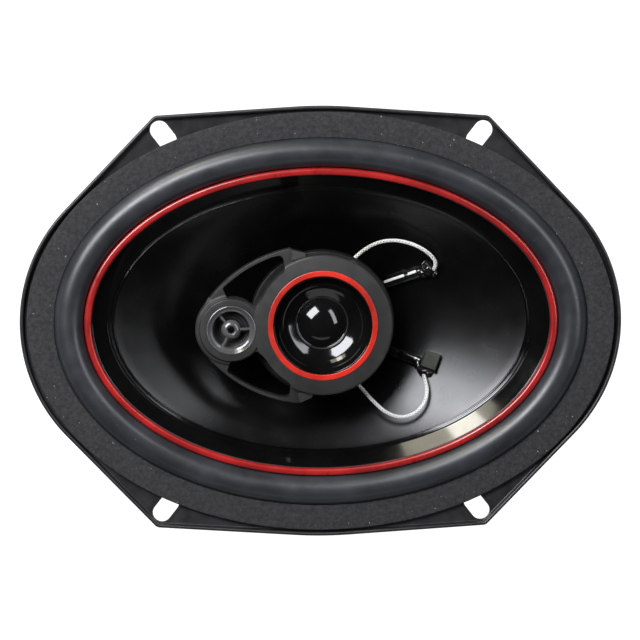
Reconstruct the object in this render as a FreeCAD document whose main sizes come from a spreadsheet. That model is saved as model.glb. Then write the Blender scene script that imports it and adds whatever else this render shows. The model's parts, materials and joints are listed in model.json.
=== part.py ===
"""Coaxial car speaker of the 6x8 inch class, three ways, as separate pieces.

The speaker stands on its magnet.  +Z points out of the front, +X runs along the
long side and +Y along the short side.  The origin is the centre of the frame's
rear face, which is the plane that meets a door panel.
"""
import FreeCAD, Part
import math
import os
import Sketcher

# Driving dimensions in millimetres and degrees: alias, value, meaning.
DIMENSIONS = (
    ("FrameLength", 232.0, "frame, long way"),
    ("FrameWidth", 166.8, "frame, short way"),
    ("EndArc", 63.16, "radius of the frame's two ends"),
    ("SideArc", 168.0, "radius of the frame's long sides"),
    ("CornerX", 62.64, "centre of the corner round"),
    ("CornerY", 76.71, "centre of the corner round"),
    ("CornerArc", 3.0, "radius of the corner round"),
    ("Gauge", 1.0, "thickness of the frame's sheet"),
    ("LipWall", 1.4, "width of the rolled lip"),
    ("LipTop", 3.5, "top of the rolled lip"),
    ("SlotX", 62.0, "outer end of a mounting slot"),
    ("SlotY", 74.1, "outer end of a mounting slot"),
    ("SlotWide", 7.2, "width of a mounting slot"),
    ("SlotLong", 12.0, "length of a mounting slot"),
    ("SlotTurn", 52.0, "a slot's angle to the X axis"),
    ("MouthX", 103.4, "frame's opening, long half"),
    ("MouthY", 72.0, "frame's opening, short half"),
    ("KneeX", 94.0, "bend in the basket's wall, long half"),
    ("KneeY", 62.0, "bend in the basket's wall, short half"),
    ("KneeZ", -13.0, "bend in the basket's wall"),
    ("ShelfOut", 50.2, "outer radius of the spider shelf"),
    ("ShelfZ", -28.2, "top of the spider shelf"),
    ("NeckOut", 41.2, "outer radius of the basket's neck"),
    ("SeatZ", -38.2, "underside of the basket's bottom"),
    ("WindowIn", 54.0, "inner radius of the basket's windows"),
    ("WindowOutX", 98.0, "windows' outer ellipse, long half"),
    ("WindowOutY", 66.5, "windows' outer ellipse, short half"),
    ("WindowTurn", 16.0, "half the angle that a window spans"),
    ("WindowRound", 3.0, "corner radius of a window"),
    ("RollMidX", 97.25, "middle of the surround's roll, long half"),
    ("RollMidY", 65.65, "middle of the surround's roll, short half"),
    ("RollArc", 5.85, "outer radius of the roll's section"),
    ("Rubber", 0.6, "thickness of the surround"),
    ("LandOut", 15.2, "surround's outer landing, from the roll's middle"),
    ("LandIn", 8.85, "surround's inner landing, from the roll's middle"),
    ("GasketX", 113.5, "gasket's outer ellipse, long half"),
    ("GasketY", 81.3, "gasket's outer ellipse, short half"),
    ("GasketTop", 3.3, "top of the gasket"),
    ("TrimX", 91.3, "red trim's outer ellipse, long half"),
    ("TrimY", 59.7, "red trim's outer ellipse, short half"),
    ("TrimWide", 2.8, "width of the red trim"),
    ("TrimTall", 2.2, "height of the red trim"),
    ("RimX", 91.6, "cone's rim, long half"),
    ("RimY", 60.0, "cone's rim, short half"),
    ("CollarX", 88.2, "top of the cone's collar, long half"),
    ("CollarY", 56.9, "top of the cone's collar, short half"),
    ("BeadX", 82.0, "foot of the cone's collar, long half"),
    ("BeadY", 51.4, "foot of the cone's collar, short half"),
    ("BeadZ", -3.5, "foot of the cone's collar"),
    ("WaistX", 42.0, "middle of the cone's body, long half"),
    ("WaistY", 30.5, "middle of the cone's body, short half"),
    ("WaistZ", -15.5, "middle of the cone's body"),
    ("Paper", 0.7, "thickness of the cone"),
    ("ThroatZ", -24.0, "foot of the cone's body"),
    ("CoilBore", 12.75, "inner radius of the voice coil's former"),
    ("FormerWall", 0.15, "thickness of the former"),
    ("FormerTop", -23.5, "top of the former"),
    ("FormerFoot", -46.0, "foot of the former"),
    ("WindingWall", 0.5, "thickness of the winding"),
    ("WindingTop", -36.2, "top of the winding"),
    ("WindingFoot", -45.2, "foot of the winding"),
    ("SpiderCloth", 0.45, "thickness of the spider"),
    ("SpiderPitch", 3.6, "half a wave of the spider"),
    ("SpiderWave", 1.0, "half the height of the spider's waves"),
    ("PoleRadius", 12.2, "radius of the pole"),
    ("GapRadius", 13.8, "bore of the top plate"),
    ("PlateRadius", 36.0, "radius of both steel plates"),
    ("PlateTall", 5.0, "thickness of both steel plates"),
    ("PlateEdge", 0.8, "chamfer on the plates' edges"),
    ("MagnetRadius", 40.0, "radius of the ferrite magnet"),
    ("MagnetBore", 17.0, "inner radius of the ferrite magnet"),
    ("MagnetTall", 13.0, "thickness of the ferrite magnet"),
    ("RivetRing", 30.0, "radius of the rivets' circle"),
    ("RivetHead", 3.2, "radius of a rivet's head"),
    ("RivetShank", 2.0, "radius of a rivet's shank"),
    ("BoltRadius", 2.0, "radius of the pod's bolt"),
    ("BoltHead", 3.9, "radius of the bolt's head"),
    ("StemRadius", 6.0, "radius of the pod's stem"),
    ("StemTop", -9.4, "shoulder of the stem"),
    ("SpigotRadius", 4.0, "radius of the stem's threaded end"),
    ("SpigotTop", -4.9, "top of the stem's threaded end"),
    ("NutFlats", 13.0, "stem nut, across its flats"),
    ("NutTall", 2.8, "thickness of the stem nut"),
    ("PodRadius", 26.9, "radius of the pod's round face"),
    ("PodTop", 12.6, "height of the pod's round face"),
    ("PodFoot", 2.6, "foot of the pod's housing"),
    ("PodWall", 2.0, "thickness of the pod's wall"),
    ("PodTurn", 2.8, "the pod's turn about the speaker's axis"),
    ("SkirtRadius", 28.0, "radius of the pod's rear cover"),
    ("RingOut", 21.05, "outer radius of the tweeter's red ring"),
    ("RingIn", 18.95, "inner radius of the tweeter's red ring"),
    ("ThroatRadius", 10.4, "throat of the tweeter's waveguide"),
    ("DomeRadius", 9.6, "edge of the tweeter's dome"),
    ("DomeTall", 3.6, "height of the tweeter's dome"),
    ("DomeZ", 3.4, "foot of the tweeter's dome"),
    ("Foil", 0.3, "thickness of the tweeter's dome"),
    ("CupRadius", 12.6, "outer radius of the tweeter's steel cup"),
    ("CupBore", 10.2, "inner radius of the tweeter's steel cup"),
    ("SatelliteX", 35.04, "from the speaker's axis to the satellite's"),
    ("SatelliteRadius", 13.7, "radius of the satellite's base"),
    ("SatelliteTop", 12.0, "height of the satellite's raised ring"),
    ("ArmArc", 52.7, "outer radius of an arm"),
    ("ArmWall", 1.3, "thickness of an arm"),
    ("ArmX", 3.1, "an arm's centre, towards the satellite"),
    ("ArmY", 22.25, "an arm's centre, across"),
    ("ArmFrom", 98.5, "first angle of an arm"),
    ("ArmSpan", 39.5, "angle that an arm spans"),
    ("ArmTop", 9.4, "top of an arm"),
    ("ArmFoot", 3.0, "foot of an arm"),
    ("GrilleOut", 9.4, "outer radius of the supertweeter's grille"),
    ("GrilleIn", 6.9, "inner radius of the supertweeter's grille"),
    ("HubRadius", 3.8, "radius of the grille's hub"),
    ("SpokeWide", 1.0, "width of the grille's spokes"),
    ("CapacitorRadius", 3.15, "radius of the capacitor"),
    ("CapacitorLong", 12.0, "length of the capacitor"),
    ("CapacitorX", 19.5, "the capacitor's distance from the axis"),
    ("BoardLong", 34.0, "terminal board, across the spoke"),
    ("BoardWide", 14.0, "terminal board, along the spoke"),
    ("BoardThick", 1.6, "thickness of the terminal board"),
    ("BoardX", 74.0, "middle of the terminal board"),
    ("LugY", 12.0, "a terminal's distance from the board's middle"),
    ("WideLug", 6.3, "width of the positive terminal"),
    ("NarrowLug", 4.8, "width of the negative terminal"),
    ("LugThick", 0.8, "thickness of both terminals"),
    ("LugLong", 25.0, "length of both terminals"),
    ("FrontLead", 1.5, "diameter of the pod's leads"),
    ("RearLead", 1.2, "diameter of the leads behind the cone"),
    ("JointX", 42.4, "a lead joint on the cone"),
    ("JointY", 19.2, "a lead joint on the cone"),
    ("JointZ", -11.8, "a lead joint on the cone"),
    ("BlobRadius", 3.4, "radius of the upper joint's glue"),
    ("BlockLong", 6.4, "lower joint's glue, long way"),
    ("BlockWide", 8.2, "lower joint's glue, short way"),
    ("BlockTall", 5.2, "height of the lower joint's glue"),
    ("UpperBar", 1.5, "radius of the upper glued lead"),
    ("LowerBar", 1.9, "radius of the lower glued lead"),
    ("BarX", 16.5, "coil end of the glued leads"),
    ("BarY", 9.0, "coil end of the glued leads"),
    ("BarZ", -20.7, "coil end of the glued leads"),
)

# The leads' routes in millimetres: the pod's two run from the pod to the joints
# on the cone, and the rear ones from the cone to the terminals.
UPPER_LEAD = (
    (10.6, 22.6, -0.4), (13.4, 25.4, -0.8), (17.2, 28.3, -1.4), (21.8, 30.6, -2.1),
    (27.4, 31.4, -2.9), (33.3, 30.5, -3.7), (38.8, 28.2, -4.7), (43.2, 24.9, -6.0),
    (45.3, 21.4, -7.9), (44.2, 19.2, -10.2),
)
LOWER_LEAD = (
    (13.2, -23.2, -0.4), (16.2, -26.8, -0.8), (20.6, -31.8, -1.4), (25.0, -35.8, -2.0),
    (30.2, -38.0, -2.6), (35.6, -37.2, -3.2), (39.6, -34.0, -4.2), (41.5, -30.0, -5.8),
    (41.6, -26.0, -7.8), (40.4, -22.2, -10.0),
)
REAR_LEAD = (
    (43.0, 19.6, -13.0), (43.6, 21.2, -18.2), (46.2, 22.8, -22.2), (50.8, 22.9, -24.9),
    (55.9, 20.9, -26.2), (60.8, 17.2, -26.7), (66.2, 12.9, -26.3),
)

doc = FreeCAD.newDocument("CoaxialSpeaker")
sheet = doc.addObject("Spreadsheet::Sheet", "Sheet")
for row, (alias, value, note) in enumerate(DIMENSIONS, start=1):
    sheet.set(f"A{row}", note)
    sheet.set(f"B{row}", str(value))
    sheet.setAlias(f"B{row}", alias)
doc.recompute()

pieces = []


def size(alias):
    """A driving dimension as a plain number."""
    return float(sheet.get(alias))


def bound(expression):
    """An expression with every driving dimension read from the sheet."""
    words = expression.replace("(", " ( ").replace(")", " ) ").split()
    names = {alias for alias, _, _ in DIMENSIONS}
    return " ".join(f"Sheet.{word}" if word in names else word for word in words)


def bind(obj, **expressions):
    """Bind an object's properties to expressions; X, Y and Z are its place."""
    for name, expression in expressions.items():
        path = f"Placement.Base.{name.lower()}" if name in ("X", "Y", "Z") else name
        obj.setExpression(path, bound(expression))
    return obj


def piece(obj, label):
    """Keep an object as a finished piece under the name that a person would use."""
    obj.Label = label
    pieces.append(obj)
    return obj


def boolean(kind, name, base, tool):
    obj = doc.addObject(f"Part::{kind}", name)
    obj.Base = base
    obj.Tool = tool
    return obj


def cut(name, base, *tools):
    for number, tool in enumerate(tools):
        base = boolean("Cut", f"{name}_cut{number}", base, tool)
    return base


def fuse(name, *shapes):
    obj = doc.addObject("Part::MultiFuse", name)
    obj.Shapes = list(shapes)
    return obj


def group(name, *shapes):
    obj = doc.addObject("Part::Compound", name)
    obj.Links = list(shapes)
    return obj


def cylinder(name, radius, foot, tall, x="0", y="0"):
    obj = doc.addObject("Part::Cylinder", name)
    return bind(obj, Radius=radius, Height=tall, X=x, Y=y, Z=foot)


def ellipse(name, half_x, half_y, height):
    obj = doc.addObject("Part::Ellipse", name)
    return bind(obj, MajorRadius=half_x, MinorRadius=half_y, Z=height)


def loft(name, *rings, ruled=True):
    obj = doc.addObject("Part::Loft", name)
    obj.Sections = list(rings)
    obj.Solid = True
    obj.Ruled = ruled
    return obj


def prism(name, outline, tall):
    """A solid that rises from a closed outline."""
    obj = doc.addObject("Part::Extrusion", name)
    obj.Base = outline
    obj.DirMode = "Custom"
    obj.Dir = FreeCAD.Vector(0, 0, 1)
    obj.Solid = True
    return bind(obj, LengthFwd=tall)


def elliptic_ring(name, outer, inner, foot, tall):
    """A flat ring between two ellipses, each given by its two halves."""
    rim = prism(f"{name}_rim", ellipse(f"{name}_outer", *outer, foot), tall)
    hole = prism(f"{name}_hole", ellipse(f"{name}_inner", *inner, foot), tall)
    return cut(name, rim, hole)


def pin_point(sketch, line, x, y):
    """Hold a line's first point at two expressions, measured from the origin."""
    for axis, kind, expression in ((-2, "DistanceX", x), (-1, "DistanceY", y)):
        if expression == "0":
            sketch.addConstraint(Sketcher.Constraint("PointOnObject", line, 1, axis))
            continue
        index = sketch.addConstraint(Sketcher.Constraint(kind, -1, 1, line, 1, 1.0))
        sketch.setExpression(f"Constraints[{index}]", bound(expression))


def polygon(sketch, points):
    """A closed chain of lines whose corners are held by expressions."""
    count = len(points)
    turn = 2 * math.pi / count
    for number in range(count):
        start = FreeCAD.Vector(math.cos(turn * number), math.sin(turn * number), 0)
        end = FreeCAD.Vector(math.cos(turn * (number + 1)), math.sin(turn * (number + 1)), 0)
        sketch.addGeometry(Part.LineSegment(start * 10, end * 10), False)
    for number in range(count):
        after = (number + 1) % count
        sketch.addConstraint(Sketcher.Constraint("Coincident", number, 2, after, 1))
        pin_point(sketch, number, *points[number])


def join_in_order(sketch, count):
    """Join each edge of a closed chain to the next where their ends meet."""
    for number in range(count):
        after = (number + 1) % count
        for end in (1, 2):
            for start in (1, 2):
                step = sketch.getPoint(number, end) - sketch.getPoint(after, start)
                if step.Length < 1e-6:
                    join = Sketcher.Constraint("Coincident", number, end, after, start)
                    sketch.addConstraint(join)


def body_sketch(name, role):
    """A PartDesign body and a sketch on one of its own origin planes."""
    body = doc.addObject("PartDesign::Body", name)
    sketch = body.newObject("Sketcher::SketchObject", f"{name}_sketch")
    plane = [f for f in body.Origin.OriginFeatures if f.Role == role][0]
    sketch.AttachmentSupport = [(plane, "")]
    sketch.MapMode = "FlatFace"
    return body, sketch


def turned(name, profile, x="0", y="0"):
    """A body of revolution about Z; the profile is (radius, height) expressions."""
    body, sketch = body_sketch(name, "XZ_Plane")
    polygon(sketch, profile)
    spin = body.newObject("PartDesign::Revolution", f"{name}_spin")
    spin.Profile = sketch
    spin.ReferenceAxis = (sketch, ["V_Axis"])
    spin.Angle = 360
    body.Tip = spin
    return bind(body, X=x, Y=y)


def plate(name, outline, foot, tall):
    """A flat body with a polygonal outline of (x, y) expressions."""
    body, sketch = body_sketch(name, "XY_Plane")
    polygon(sketch, outline)
    pad = body.newObject("PartDesign::Pad", f"{name}_pad")
    pad.Profile = sketch
    pad.setExpression("Length", bound(tall))
    body.Tip = pad
    return bind(body, Z=foot)


def turn_with_pod(obj):
    """Turn a piece of the pod about the speaker's axis."""
    axis = FreeCAD.Vector(0, 0, 1)
    turn = FreeCAD.Rotation(axis, size("PodTurn"))
    obj.Placement = FreeCAD.Placement(FreeCAD.Vector(0, 0, 0), turn)
    return obj


# ---------------------------------------------------------------- frame

def tangent_points(centre_a, radius_a, centre_b, radius_b):
    """Ends of the outer line that touches two circles, both circles to its right."""
    step = centre_b - centre_a
    lean = math.asin((radius_a - radius_b) / step.Length)
    heading = math.atan2(step.y, step.x) + math.pi / 2 - lean
    normal = FreeCAD.Vector(math.cos(heading), math.sin(heading), 0)
    return centre_a + normal * radius_a, centre_b + normal * radius_b


def frame_outline(name, inset, height):
    """The frame's outline, moved in by an inset: four large arcs, four corners."""
    end_x = size("FrameLength") / 2 - size("EndArc")
    side_y = size("FrameWidth") / 2 - size("SideArc")
    corner = (size("CornerX"), size("CornerY"))
    arcs = (
        (1, 0, "End"), (1, 1, "Corner"), (0, 1, "Side"), (-1, 1, "Corner"),
        (-1, 0, "End"), (-1, -1, "Corner"), (0, -1, "Side"), (1, -1, "Corner"),
    )
    circles = []
    for way_x, way_y, kind in arcs:
        place = {
            "End": (end_x * way_x, 0.0),
            "Side": (0.0, side_y * way_y),
            "Corner": (corner[0] * way_x, corner[1] * way_y),
        }[kind]
        radius = size(f"{kind}Arc") - size(inset) if inset else size(f"{kind}Arc")
        circles.append((FreeCAD.Vector(*place, 0), radius))
    lines = []
    for number, (centre, radius) in enumerate(circles):
        after, after_radius = circles[(number + 1) % len(circles)]
        start, end = tangent_points(after, after_radius, centre, radius)
        lines.append((end, start))

    sketch = doc.addObject("Sketcher::SketchObject", name)
    flat = FreeCAD.Vector(0, 0, 1)
    for number, (centre, radius) in enumerate(circles):
        before = lines[number - 1][1] - centre
        after = lines[number][0] - centre
        circle = Part.Circle(centre, flat, radius)
        first = math.atan2(before.y, before.x)
        last = math.atan2(after.y, after.x)
        sketch.addGeometry(Part.ArcOfCircle(circle, first, last), False)
        sketch.addGeometry(Part.LineSegment(*lines[number]), False)
    total = 2 * len(circles)
    for edge in range(total):
        after = (edge + 1) % total
        sketch.addConstraint(Sketcher.Constraint("Tangent", edge, 2, after, 1))
    for number, (way_x, way_y, kind) in enumerate(arcs):
        arc = 2 * number
        radius = f"{kind}Arc - {inset}" if inset else f"{kind}Arc"
        index = sketch.addConstraint(Sketcher.Constraint("Radius", arc, circles[number][1]))
        sketch.setExpression(f"Constraints[{index}]", bound(radius))
        places = {
            "End": (f"{way_x} * (FrameLength / 2 - EndArc)", "0"),
            "Side": ("0", f"{way_y} * (FrameWidth / 2 - SideArc)"),
            "Corner": (f"{way_x} * CornerX", f"{way_y} * CornerY"),
        }[kind]
        for axis, rule, text, now in (
            (-2, "DistanceX", places[0], circles[number][0].x),
            (-1, "DistanceY", places[1], circles[number][0].y),
        ):
            if text == "0":
                sketch.addConstraint(Sketcher.Constraint("PointOnObject", arc, 3, axis))
                continue
            index = sketch.addConstraint(Sketcher.Constraint(rule, -1, 1, arc, 3, now))
            sketch.setExpression(f"Constraints[{index}]", bound(text))
    return bind(sketch, Z=height)


def slot_cutter(number, way_x, way_y):
    """The tool that cuts one slanted mounting slot."""
    run = math.radians(size("SlotTurn"))
    reach = size("SlotLong") - size("SlotWide")
    x, y = way_x * size("SlotX"), way_y * size("SlotY")
    step_x, step_y = way_x * reach * math.cos(run), way_y * reach * math.sin(run)
    outer = cylinder(f"slot{number}_outer", "SlotWide / 2", "-1", "Gauge + 2", str(x), str(y))
    inner = cylinder(
        f"slot{number}_inner", "SlotWide / 2", "-1", "Gauge + 2", str(x - step_x), str(y - step_y)
    )
    middle = doc.addObject("Part::Box", f"slot{number}_middle")
    bind(middle, Length="SlotLong - SlotWide", Width="SlotWide", Height="Gauge + 2")
    heading = math.degrees(math.atan2(-step_y, -step_x))
    turn = FreeCAD.Rotation(FreeCAD.Vector(0, 0, 1), heading)
    side = turn.multVec(FreeCAD.Vector(0, -size("SlotWide") / 2, 0))
    middle.Placement = FreeCAD.Placement(FreeCAD.Vector(x, y, -1) + side, turn)
    return fuse(f"slot{number}", outer, inner, middle)


def window_cutter():
    """The tool that cuts the basket's eight windows, between spokes."""
    sketch = doc.addObject("Sketcher::SketchObject", "window_outlines")
    inner = (size("WindowIn"), size("WindowIn"))
    outer = (size("WindowOutX"), size("WindowOutY"))

    def corner(halves, degrees):
        turn = math.radians(degrees)
        return FreeCAD.Vector(halves[0] * math.cos(turn), halves[1] * math.sin(turn), 0)

    for number in range(8):
        middle = 22.5 + 45 * number
        first, last = middle - size("WindowTurn"), middle + size("WindowTurn")
        near = Part.Arc(corner(inner, first), corner(inner, middle), corner(inner, last))
        far = Part.Arc(corner(outer, first), corner(outer, middle), corner(outer, last))
        sketch.addGeometry(near, False)
        sketch.addGeometry(far, False)
        sketch.addGeometry(Part.LineSegment(corner(inner, first), corner(outer, first)), False)
        sketch.addGeometry(Part.LineSegment(corner(inner, last), corner(outer, last)), False)
    bind(sketch, Z="SeatZ")
    raw = prism("window_prisms", sketch, "- SeatZ - 2 * Gauge")
    doc.recompute()
    rounded = doc.addObject("Part::Fillet", "window_tools")
    rounded.Base = raw
    upright = []
    for number, edge in enumerate(raw.Shape.Edges, start=1):
        ends = [vertex.Point for vertex in edge.Vertexes]
        if len(ends) == 2 and abs((ends[1] - ends[0]).normalize().z) > 0.99:
            upright.append((number, size("WindowRound"), size("WindowRound")))
    rounded.Edges = upright
    return rounded


def make_basket():
    flange = prism("flange", frame_outline("flange_outline", None, "0"), "Gauge")
    lip_outer = prism("lip_outer", frame_outline("lip_outline", None, "0"), "LipTop")
    lip_inner = prism("lip_inner", frame_outline("lip_inner_outline", "LipWall", "Gauge"), "LipTop")
    lip = cut("lip", lip_outer, lip_inner)
    outside = loft(
        "wall_outside",
        ellipse("wall_foot", "ShelfOut", "ShelfOut", "ShelfZ - 1.2"),
        ellipse("wall_knee", "KneeX + 0.8", "KneeY + 0.8", "KneeZ - 1"),
        ellipse("wall_mouth", "MouthX + 0.8", "MouthY + 0.8", "0"),
    )
    inside = loft(
        "wall_inside",
        ellipse("wall_inner_foot", "ShelfOut - 1", "ShelfOut - 1", "ShelfZ"),
        ellipse("wall_inner_knee", "KneeX", "KneeY", "KneeZ"),
        ellipse("wall_inner_mouth", "MouthX", "MouthY", "Gauge"),
    )
    core = cylinder("wall_core", "ShelfOut - 1.2", "ShelfZ - 3", "4")
    shell = fuse("basket_shell", lip, flange, outside)
    wall = cut("basket_wall", shell, inside, core)
    tub = turned(
        "basket_tub",
        (
            ("GapRadius + 2", "SeatZ"),
            ("NeckOut", "SeatZ"),
            ("NeckOut", "ShelfZ - 1.2"),
            ("ShelfOut", "ShelfZ - 1.2"),
            ("ShelfOut", "ShelfZ"),
            ("NeckOut - 1.2", "ShelfZ"),
            ("NeckOut - 1.2", "SeatZ + 1.2"),
            ("GapRadius + 2", "SeatZ + 1.2"),
        ),
    )
    whole = fuse("basket_whole", wall, tub)
    slots = [
        slot_cutter(number, way_x, way_y)
        for number, (way_x, way_y) in enumerate(((1, 1), (-1, 1), (-1, -1), (1, -1)))
    ]
    return cut("basket_open", whole, window_cutter(), *slots)


# ---------------------------------------------------------------- motor

def make_rivets(name, foot, shank, head):
    """Four rivets: a shank that goes down and a head on top."""
    solids = []
    for number in range(4):
        turn = math.radians(45 + 90 * number)
        x = f"RivetRing * {math.cos(turn):.6f}"
        y = f"RivetRing * {math.sin(turn):.6f}"
        pin = cylinder(f"{name}_shank{number}", "RivetShank", f"{foot} - {shank}", shank, x, y)
        cap = cylinder(f"{name}_head{number}", "RivetHead", foot, head, x, y)
        solids.append(fuse(f"{name}_{number}", pin, cap))
    return group(name, *solids)


def make_motor():
    plate_foot = "SeatZ - PlateTall"
    rivets = make_rivets("rivets", "( SeatZ + 1.2 )", "4.2", "1.1")
    basket = cut("riveted_basket", make_basket(), rivets)
    top_plate = turned(
        "top_plate_disc",
        (
            ("GapRadius", plate_foot),
            ("PlateRadius - PlateEdge", plate_foot),
            ("PlateRadius", f"{plate_foot} + PlateEdge"),
            ("PlateRadius", "SeatZ - PlateEdge"),
            ("PlateRadius - PlateEdge", "SeatZ"),
            ("GapRadius", "SeatZ"),
        ),
    )
    top_plate = cut("top_plate", top_plate, rivets)
    magnet_foot = f"{plate_foot} - MagnetTall"
    magnet = turned(
        "ferrite_magnet",
        (
            ("MagnetBore", magnet_foot),
            ("MagnetRadius - PlateEdge", magnet_foot),
            ("MagnetRadius", f"{magnet_foot} + PlateEdge"),
            ("MagnetRadius", f"{plate_foot} - PlateEdge"),
            ("MagnetRadius - PlateEdge", plate_foot),
            ("MagnetBore", plate_foot),
        ),
    )
    back = f"{magnet_foot} - PlateTall"
    yoke = turned(
        "back_plate_and_pole",
        (
            ("BoltHead + 0.6", back),
            ("PlateRadius - PlateEdge", back),
            ("PlateRadius", f"{back} + PlateEdge"),
            ("PlateRadius", f"{magnet_foot} - PlateEdge"),
            ("PlateRadius - PlateEdge", magnet_foot),
            ("PoleRadius", magnet_foot),
            ("PoleRadius", "SeatZ - 0.6"),
            ("PoleRadius - 0.6", "SeatZ"),
            ("BoltRadius + 0.2", "SeatZ"),
            ("BoltRadius + 0.2", f"{back} + 3.4"),
            ("BoltHead + 0.6", f"{back} + 3.4"),
        ),
    )
    bolt = turned(
        "pod_bolt",
        (
            ("0", f"{back} + 1.8"),
            ("1.2", f"{back} + 1.8"),
            ("1.2", f"{back} + 0.8"),
            ("BoltHead - 0.5", f"{back} + 0.8"),
            ("BoltHead", f"{back} + 1.4"),
            ("BoltHead", f"{back} + 3.4"),
            ("BoltRadius", f"{back} + 3.4"),
            ("BoltRadius", "SeatZ + 10"),
            ("0", "SeatZ + 10"),
        ),
    )
    stem = turned(
        "pod_stem",
        (
            ("BoltRadius", "SeatZ"),
            ("StemRadius", "SeatZ"),
            ("StemRadius", "StemTop"),
            ("SpigotRadius", "StemTop"),
            ("SpigotRadius", "SpigotTop"),
            ("0", "SpigotTop"),
            ("0", "SeatZ + 12"),
            ("BoltRadius", "SeatZ + 12"),
        ),
    )
    piece(rivets, "basket_rivets")
    piece(top_plate, "top_plate")
    piece(magnet, "ferrite_magnet")
    piece(yoke, "back_plate_and_pole")
    piece(bolt, "pod_bolt")
    piece(stem, "pod_stem")
    return basket


# ---------------------------------------------------------------- moving cone

def make_surround():
    """Rubber half roll with a flat landing each side, swept round an ellipse."""
    profile = doc.addObject("Sketcher::SketchObject", "surround_section")
    middle = size("RollMidX")
    outer = size("RollArc")
    inner = outer - size("Rubber")
    flat = size("Gauge")
    top = flat + size("Rubber")
    foot = math.sqrt(outer ** 2 - size("Rubber") ** 2)
    far, near = size("LandOut"), size("LandIn")

    def at(across, up):
        return FreeCAD.Vector(middle + across, up, 0)

    edges = (
        Part.LineSegment(at(far, flat), at(far, top)),
        Part.LineSegment(at(far, top), at(foot, top)),
        Part.Arc(at(foot, top), at(0, flat + outer), at(-foot, top)),
        Part.LineSegment(at(-foot, top), at(-near, top)),
        Part.LineSegment(at(-near, top), at(-near, flat)),
        Part.LineSegment(at(-near, flat), at(-inner, flat)),
        Part.Arc(at(-inner, flat), at(0, flat + inner), at(inner, flat)),
        Part.LineSegment(at(inner, flat), at(far, flat)),
    )
    for edge in edges:
        profile.addGeometry(edge, False)
    join_in_order(profile, len(edges))
    holds = (
        ("DistanceX", (0, 1), "RollMidX + LandOut"), ("DistanceY", (0, 1), "Gauge"),
        ("DistanceX", (0, 2), "RollMidX + LandOut"), ("DistanceY", (0, 2), "Gauge + Rubber"),
        ("DistanceY", (1, 2), "Gauge + Rubber"), ("DistanceY", (3, 1), "Gauge + Rubber"),
        ("DistanceX", (3, 2), "RollMidX - LandIn"), ("DistanceY", (3, 2), "Gauge + Rubber"),
        ("DistanceX", (4, 2), "RollMidX - LandIn"), ("DistanceY", (4, 2), "Gauge"),
        ("DistanceY", (5, 2), "Gauge"), ("DistanceY", (7, 1), "Gauge"),
        ("DistanceX", (2, 3), "RollMidX"), ("DistanceY", (2, 3), "Gauge"),
        ("DistanceX", (6, 3), "RollMidX"), ("DistanceY", (6, 3), "Gauge"),
    )
    for kind, (edge, end), expression in holds:
        point = profile.getPoint(edge, end)
        now = point.x if kind == "DistanceX" else point.y
        index = profile.addConstraint(Sketcher.Constraint(kind, -1, 1, edge, end, now))
        profile.setExpression(f"Constraints[{index}]", bound(expression))
    for arc, now, expression in ((2, outer, "RollArc"), (6, inner, "RollArc - Rubber")):
        index = profile.addConstraint(Sketcher.Constraint("Radius", arc, now))
        profile.setExpression(f"Constraints[{index}]", bound(expression))
    upright = FreeCAD.Rotation(FreeCAD.Vector(1, 0, 0), 90)
    profile.Placement = FreeCAD.Placement(FreeCAD.Vector(0, 0, 0), upright)
    sweep = doc.addObject("Part::Sweep", "surround")
    sweep.Sections = [profile]
    sweep.Spine = (ellipse("surround_path", "RollMidX", "RollMidY", "Gauge"), ["Edge1"])
    sweep.Solid = True
    sweep.Frenet = True
    return sweep


def make_cone():
    """The cone and the space in front of it, which trims what is glued on it."""
    body_outside = loft(
        "cone_outside",
        ellipse("cone_outer_throat", "CoilBore + FormerWall + Paper",
                "CoilBore + FormerWall + Paper", "ThroatZ - Paper"),
        ellipse("cone_outer_waist", "WaistX", "WaistY", "WaistZ - Paper"),
        ellipse("cone_outer_bead", "BeadX + Paper", "BeadY + Paper", "BeadZ - Paper"),
        ruled=False,
    )
    body_inside = loft(
        "cone_inside",
        ellipse("cone_inner_throat", "CoilBore + FormerWall", "CoilBore + FormerWall", "ThroatZ"),
        ellipse("cone_inner_waist", "WaistX", "WaistY", "WaistZ"),
        ellipse("cone_inner_bead", "BeadX", "BeadY", "BeadZ"),
        ruled=False,
    )
    collar_outside = loft(
        "collar_outside",
        ellipse("collar_outer_foot", "BeadX + Paper", "BeadY + Paper", "BeadZ - Paper"),
        ellipse("collar_outer_top", "CollarX + Paper", "CollarY + Paper", "Gauge"),
    )
    collar_inside = loft(
        "collar_inside",
        ellipse("collar_inner_foot", "BeadX", "BeadY", "BeadZ"),
        ellipse("collar_inner_top", "CollarX", "CollarY", "Gauge"),
    )
    rim = prism("cone_rim", ellipse("cone_rim_edge", "RimX", "RimY", "Gauge - Paper"), "Paper")
    neck = cylinder(
        "cone_neck", "CoilBore + FormerWall + Paper", "ThroatZ - Paper - 2", "2 + Paper / 2"
    )
    bore = cylinder("cone_bore", "CoilBore + FormerWall", "ThroatZ - 4", "5")
    skin = fuse("cone_skin", rim, neck, collar_outside, body_outside)
    space = fuse("cone_space", collar_inside, body_inside)
    return cut("cone", skin, space, bore), space


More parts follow.
